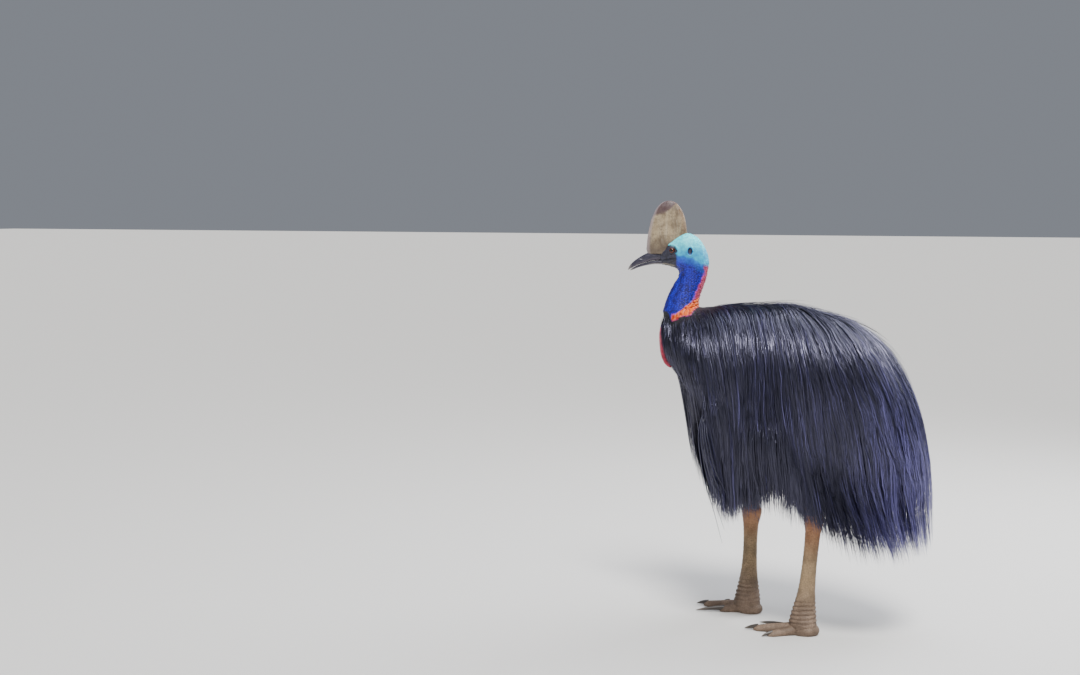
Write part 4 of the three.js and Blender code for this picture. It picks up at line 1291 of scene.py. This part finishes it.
def head_material():
    n = Nodes("bare skin")
    mottled = n.noise(90, 5, 0.65)
    fine = n.noise(600, 3, 0.7)
    # Painted shade and highlight: the ridge mark darkens the grooves of the neck's wrinkles and the ground
    # between the warts, and lightens their tops, over the skin's own mottling.
    mottle_and_relief_shade = n.math("ADD", n.times(mottled, 0.45), n.times(n.mask("ridge"), 0.62))
    ultramarine = n.between(mottle_and_relief_shade, (0.0020, 0.0012, 0.10), (0.004, 0.005, 0.45), 0.20, 0.62)
    ultramarine = n.between(mottle_and_relief_shade, ultramarine, (0.020, 0.042, 0.80), 0.62, 0.98)
    azure = n.between(mottled, (0.002, 0.060, 0.34), (0.006, 0.15, 0.56), 0.3, 0.75)
    pale = n.between(mottled, (0.002, 0.23, 0.46), (0.010, 0.44, 0.63))
    # The crown colour is the skin's paler top, with a painted highlight from above.
    crown = n.between(mottled, (0.020, 0.48, 0.60), (0.10, 0.78, 0.84))
    dark = n.between(mottled, (0.010, 0.010, 0.018), (0.034, 0.034, 0.062))
    pink = n.between(mottled, (0.30, 0.012, 0.05), (0.60, 0.07, 0.16))
    orange = n.between(mottle_and_relief_shade, (0.34, 0.012, 0.004), (0.72, 0.125, 0.002), 0.30, 0.80)
    crimson = n.between(mottled, (0.30, 0.008, 0.028), (0.54, 0.03, 0.085))
    colour = n.mix(n.mask("azure"), ultramarine, azure)
    colour = n.mix(n.mask("pale"), colour, n.mix(n.mask("crown"), pale, crown))
    colour = n.mix(n.mask("stripe"), colour, pink)
    colour = n.mix(n.mask("wart"), colour, orange)
    # The dark mark holds dark skin round the eye, bill base and mouth, and the painted shade of the ear's
    # opening.
    colour = n.mix(n.mask("dark"), colour, dark)
    colour = n.mix(n.times(n.mask("jaw"), 0.75), colour, (0.26, 0.22, 0.15))
    colour = n.mix(n.mask("wattle"), colour, crimson)
    colour = n.mix(n.mask("edge"), colour, (0.66, 0.20, 0.26))
    n.set(Base_Color=colour, Roughness=n.span(fine, 0.2, 0.8, 0.42, 0.62))
    n.set(Subsurface_Weight=0.08, Subsurface_Radius=(0.004, 0.002, 0.002), Subsurface_Scale=0.5)
    n.bump(n.math("ADD", n.spots(420), n.times(fine, 0.6)), 0.0006, 0.5)
    return n.material


def under_material():
    """Skin under the feathers, as dark as they are."""
    n = Nodes("skin under feathers")
    n.set(Base_Color=n.mix(n.noise(60), (0.004, 0.004, 0.007), (0.012, 0.012, 0.018)), Roughness=0.7)
    n.bump(n.noise(400), 0.001, 0.5)
    return n.material


def leg_material():
    n = Nodes("scaled leg skin")
    blotch = n.noise(22, 5, 0.6)
    fine = n.noise(220, 4, 0.7)
    warm = n.between(blotch, (0.30, 0.115, 0.045), (0.42, 0.19, 0.085), 0.35, 0.65)
    tan = n.between(blotch, (0.20, 0.135, 0.068), (0.34, 0.235, 0.125), 0.35, 0.65)
    grey = n.between(blotch, (0.125, 0.082, 0.055), (0.24, 0.165, 0.115), 0.35, 0.65)
    colour = n.mix(n.mask("hock"), tan, warm)
    colour = n.mix(n.mask("low"), colour, grey)
    grooves = n.span(n.spots(150, "DISTANCE_TO_EDGE"), 0.10, 0.0)
    colour = n.mix(n.times(grooves, 0.55), colour, (0.06, 0.038, 0.026))
    colour = n.mix(n.times(n.span(fine, 0.55, 0.8), 0.4), colour, (0.42, 0.34, 0.24))
    n.set(Base_Color=colour, Roughness=n.span(fine, 0.2, 0.8, 0.55, 0.8))
    n.bump(n.math("ADD", fine, n.times(n.spots(300), 0.8)), 0.0008, 0.6)
    return n.material


def feather_material():
    n = Nodes("plumage")
    tone, down = n.mask("tone"), n.mask("down")
    base = n.between(tone, (0.0012, 0.0012, 0.0026), (0.020, 0.019, 0.056), 0.2, 1.0)
    tip = n.between(tone, (0.0016, 0.0015, 0.0040), (0.19, 0.175, 0.44), 0.25, 1.0)
    colour = n.between(down, base, tip, 0.35, 1.0)
    streak = n.noise(70, 3, 0.6, stretch=(1, 1, 0.12))
    colour = n.mix(n.times(n.span(streak, 0.5, 0.72), 0.4), colour, (0.002, 0.002, 0.0035))
    n.set(Base_Color=colour, Roughness=n.span(streak, 0.3, 0.7, 0.28, 0.40))
    n.set(IOR=1.65, Specular_IOR_Level=0.9, Specular_Tint=(0.70, 0.69, 1.0, 1.0))
    return n.material


def quill_material():
    n = Nodes("wing quill")
    streak = n.noise(140, 3, 0.6, stretch=(1, 1, 0.08))
    n.set(Base_Color=n.mix(streak, (0.006, 0.006, 0.012), (0.035, 0.035, 0.075)))
    n.set(Roughness=0.34, Specular_IOR_Level=0.6)
    n.bump(streak, 0.0004, 0.4)
    return n.material


def bill_material():
    n = Nodes("bill horn")
    streak = n.noise(160, 4, 0.6, stretch=(0.4, 0.4, 2.2))
    dark = n.mix(streak, (0.010, 0.010, 0.018), (0.052, 0.047, 0.074))
    rim = n.times(n.span(n.mask("low"), 0.70, 0.88), 0.55)
    dark = n.mix(rim, dark, (0.17, 0.14, 0.19))
    colour = n.mix(n.times(n.span(n.mask("tip"), 0.86, 1.0), 0.6), dark, (0.30, 0.27, 0.24))
    colour = n.mix(n.times(n.mask("pale"), 0.7), colour, (0.26, 0.23, 0.21))
    n.set(Base_Color=colour, Roughness=n.span(streak, 0.3, 0.7, 0.26, 0.45))
    n.bump(streak, 0.0005, 0.35)
    return n.material


def casque_material():
    n = Nodes("casque horn")
    wide = n.noise(28, 5, 0.65)
    lines = n.noise(120, 4, 0.7, stretch=(1, 1, 0.16))
    cross = n.noise(150, 3, 0.7, stretch=(0.25, 0.25, 1))
    pits = n.spots(230, stretch=(1, 1, 0.5))
    base = n.between(wide, (0.120, 0.082, 0.048), (0.36, 0.28, 0.17))
    base = n.mix(n.times(n.span(lines, 0.45, 0.75), 0.55), base, (0.42, 0.36, 0.26))
    base = n.mix(n.times(n.span(cross, 0.5, 0.75), 0.45), base, (0.055, 0.040, 0.028))
    base = n.mix(n.times(n.span(pits, 0.32, 0.12), 0.5), base, (0.045, 0.033, 0.026))
    colour = n.mix(n.times(n.mask("patch"), 0.85), base, (0.050, 0.022, 0.032))
    colour = n.mix(n.times(n.span(n.mask("rise"), 0.30, 0.03), 0.7), colour, (0.062, 0.042, 0.032))
    colour = n.mix(n.times(n.mask("keel"), 0.6), colour, (0.38, 0.31, 0.33))
    colour = n.mix(n.times(n.mask("back"), 0.45), colour, (0.16, 0.075, 0.040))
    n.set(Base_Color=colour, Roughness=n.span(lines, 0.3, 0.7, 0.42, 0.62))
    n.bump(n.math("ADD", lines, n.times(cross, 0.7)), 0.0012, 0.6)
    return n.material


def eye_material():
    n = Nodes("eye")
    out = n.mask("out")
    flecks = n.noise(900, 3, 0.6)
    iris = n.mix(flecks, (0.055, 0.010, 0.004), (0.15, 0.032, 0.010))
    colour = n.between(out, iris, (0.002, 0.002, 0.002), 0.905, 0.925)
    colour = n.between(out, colour, (0.02, 0.012, 0.010), 0.72, 0.68)
    n.set(Base_Color=colour, Roughness=0.12, Specular_IOR_Level=0.1, Coat_Weight=0.7, Coat_Roughness=0.02)
    return n.material


def claw_material():
    n = Nodes("claw horn")
    streak = n.noise(220, 4, 0.6)
    colour = n.mix(streak, (0.022, 0.018, 0.016), (0.075, 0.060, 0.050))
    colour = n.mix(n.times(n.span(n.mask("tip"), 0.55, 1.0), 0.4), colour, (0.20, 0.16, 0.12))
    n.set(Base_Color=colour, Roughness=n.span(streak, 0.3, 0.7, 0.3, 0.5))
    n.bump(streak, 0.0005, 0.5)
    return n.material


# Assembly


def dress(obj, material, slot, *nodes):
    """Gives a piece its material and hides the nodes that it takes the place of. The slot is not used."""
    if material is not None:
        obj.data.materials.clear()
        obj.data.materials.append(material)
    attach(obj, "root")
    if nodes:
        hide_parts(*nodes)


def dark_skin_and_ear_shade(p):
    """1 on dark skin round the eye, at the bill's base and along the mouth, and on painted shade in the
    ear's opening.
    """
    forward, up, left = head_place(p)
    beside = on_side(left)
    away = np.hypot(forward - 2, up / 0.9)
    mask = smoothstep(away + 3 * noise(p, 0.008, 133), 21, 14) * beside
    wedge = smoothstep(forward, 4, 12) * smoothstep(np.abs(up + 6) - (24 - 0.25 * forward), 2, -3)
    base = smoothstep(forward + 0.6 * (up + 30), 22, 27) * smoothstep(forward, 10, 16)
    gape = bulge((up + 30) / 4.5) * smoothstep(forward, -16, -4) * beside
    jaw = smoothstep(forward, -20, -10) * smoothstep(up, -9, -15)
    # Painted shade: the ear's opening is made dark.
    ear_opening_shade = smoothstep(ear_distance(forward, up), 0.95, 0.65) * beside
    return np.clip(mask + wedge + base + gape + jaw + ear_opening_shade, 0, 1) * smoothstep(up, -95, -70)


def paint_skin(obj):
    """Marks the colour zones of the skin."""
    p = coordinates(obj)
    x, y, z = p.T
    forward, up, left = head_place(p)
    bare, above = bare_share(p), smoothstep(up, -95, -70)
    under = up - np.interp(forward, *np.transpose(PALE_LINE)) + 5 * noise(p, 0.014, 131)
    ear = ear_distance(forward, up)
    pale = smoothstep(under, -7, 7) * bare * above + 0.9 * bulge((ear - 1.25) / 0.3) * on_side(left)
    pale = np.clip(pale, 0, 1) * (1 - smoothstep(ear, 1.05, 0.85) * on_side(left))
    jaw = bulge((up + 44 + 0.2 * np.maximum(20 - forward, 0)) / 2.6) * smoothstep(forward, -14, -2)
    jaw = jaw * smoothstep(np.abs(left), 3, 8) * above
    hanging = (y < -0.3585) & (z < 0.985) & (np.abs(x) < 0.03)
    wattles = hanging * smoothstep(body_distance(p), 0.002, 0.006)
    paint(
        obj,
        pale=pale,
        dark=dark_skin_and_ear_shade(p),
        azure=smoothstep(under, -34, -4) * bare * above,
        # The crown mark lightens the skin towards the top of the head: its own paler colour there, with a
        # painted highlight from above.
        crown=smoothstep(up, -12, 34) * bare,
        jaw=jaw,
        stripe=stripe_share(p) * (1 - pale),
        wart=wart_share(p),
        wattle=wattles,
        edge=wattles * smoothstep(-y, 0.395, 0.410) * 0.7,
        hock=smoothstep(z, 0.22, 0.36),
        low=smoothstep(z, 0.20, 0.06),
    )


def skin_materials(mesh):
    """Gives each face of the skin one of three materials: bare skin, skin under feathers or scaled legs."""
    mesh.materials.clear()
    for material in (head_material(), under_material(), leg_material()):
        mesh.materials.append(material)
    centre = np.empty(len(mesh.polygons) * 3, np.float32)
    mesh.polygons.foreach_get("center", centre)
    centre = centre.reshape(-1, 3) - MOVED_BACK
    x, y, z = centre.T
    wattles = (y < -0.36) & (z < 0.99) & (np.abs(x) < 0.03) & (body_distance(centre) > 0.001)
    index = np.where((bare_share(centre) > 0.5) | wattles, 0, 1)
    index[z < 0.41] = 2
    mesh.polygons.foreach_set("material_index", index.astype(np.int32))


body, inner_grid = body_skin()
parts = [body, *lids(), wattle(1), wattle(-1)]
for leg in LEGS.values():
    parts += [leg_skin(leg), pad_skin(leg), *[toe_skin(leg, toe) for toe in TOES.values()]]
skin = united("skin", parts)
paint_skin(skin)
skin_materials(skin.data)
flesh = ["torso", "neck_upper", "neck_lower", "head", "wattle_left", "wattle_right"]
flesh += [f"{part}_{side}" for part in ("thigh", "shank", "foot") for side in LEGS]
dress(skin, None, "neck_skin", *flesh)

horn = bill_material()
upper_bill = bill_half("upper_bill", UPPER_BILL, True)
lower_bill = bill_half("lower_bill", LOWER_BILL, False)
for obj in (upper_bill, lower_bill):
    forward, up, left = head_place(coordinates(obj))
    stripe = bulge((up + 44 + 0.28 * np.maximum(forward - 60, 0)) / 2.4) * smoothstep(np.abs(left), 3, 7)
    paint(obj, pale=stripe * (obj is lower_bill))
dress(upper_bill, horn, "bill", "bill_upper")
dress(lower_bill, horn, "bill", "bill_lower")
dress(casque(), casque_material(), "casque", "casque")
glass = eye_material()
dress(eye(1, "eyeball_left"), glass, "eye", "eye_left")
dress(eye(-1, "eyeball_right"), glass, "eye", "eye_right")
nail = claw_material()
for leg_name, leg in LEGS.items():
    for toe_name, toe in TOES.items():
        piece = claw(leg, toe, f"nail_{leg_name}_{toe_name}")
        dress(piece, nail, "claw", f"claw_{leg_name}_{toe_name}")
quill = quill_material()
dress(wing(1, "wing_quills_left"), quill, "quill", "wing_left")
dress(wing(-1, "wing_quills_right"), quill, "quill", "wing_right")

plumage = feather_material()
for piece in coat_pieces(inner_grid, FEATHERS, MOST_TRIANGLES):
    dress(piece, plumage, "plumage")
for leg_name in LEGS:
    dress(thigh_coat(leg_name, THIGH_FEATHERS), plumage, "plumage")

# Floor, light and camera


def placed(name, data, at, towards):
    """An object for a light or a camera at a place, looking along a direction."""
    obj = bpy.data.objects.new(name, data)
    bpy.context.scene.collection.objects.link(obj)
    turn = Vector(towards).to_track_quat("-Z", "Y").to_matrix().to_4x4()
    obj.matrix_world = Matrix.Translation(Vector(at)) @ turn
    return obj


def floor():
    """A wide pale floor, which isn't part of the model."""
    size = 60.0
    points = np.array([[-size, -size, 0], [size, -size, 0], [size, size, 0], [-size, size, 0]]) - MOVED_BACK
    obj = new_object("floor", points, [np.array([[0, 1, 2, 3]])], smooth=False)
    n = Nodes("floor")
    n.set(Base_Color=(0.72, 0.71, 0.69, 1), Roughness=0.85)
    obj.data.materials.append(n.material)


def sun(strength, angle, towards):
    """An even, soft light from above."""
    data = bpy.data.lights.new("overhead light", "SUN")
    data.energy = strength
    data.angle = math.radians(angle)
    data.color = (1.0, 0.985, 0.96)
    placed("overhead light", data, (0, 0, 0), towards)


def area_light(name, at, size, power, colour):
    """A square light that looks at the middle of the bird."""
    data = bpy.data.lights.new(name, "AREA")
    data.shape = "SQUARE"
    data.size = size
    data.energy = power
    data.color = colour
    placed(name, data, at, Vector(LIT_MIDDLE) - Vector(at))


def studio():
    """A pale floor, a faint sky, an overhead light and three soft square lights."""
    floor()
    world = bpy.data.worlds.new("studio")
    bpy.context.scene.world = world
    world.use_nodes = True
    back = world.node_tree.nodes["Background"]
    back.inputs["Color"].default_value = (0.82, 0.88, 1.0, 1)
    back.inputs["Strength"].default_value = 0.27
    sun(4.7, 20, (-0.46, -0.26, -0.82))
    area_light("fill light", (4.0, -2.5, 1.8), 2.5, 12, (0.95, 0.97, 1.0))
    area_light("back light", (-2.4, 1.8, 2.8), 2.5, 120, (0.95, 0.97, 1.0))
    area_light("top light", (-0.5, 0.5, 3.5), 2.6, 85, (0.90, 0.92, 1.0))


def camera():
    """The camera in the place that the photo was taken from."""
    data = bpy.data.cameras.new("camera")
    data.lens = 50
    data.sensor_width = 36
    bpy.context.scene.camera = placed("camera", data, CAMERA_AT, CAMERA_AHEAD)


studio()
camera()
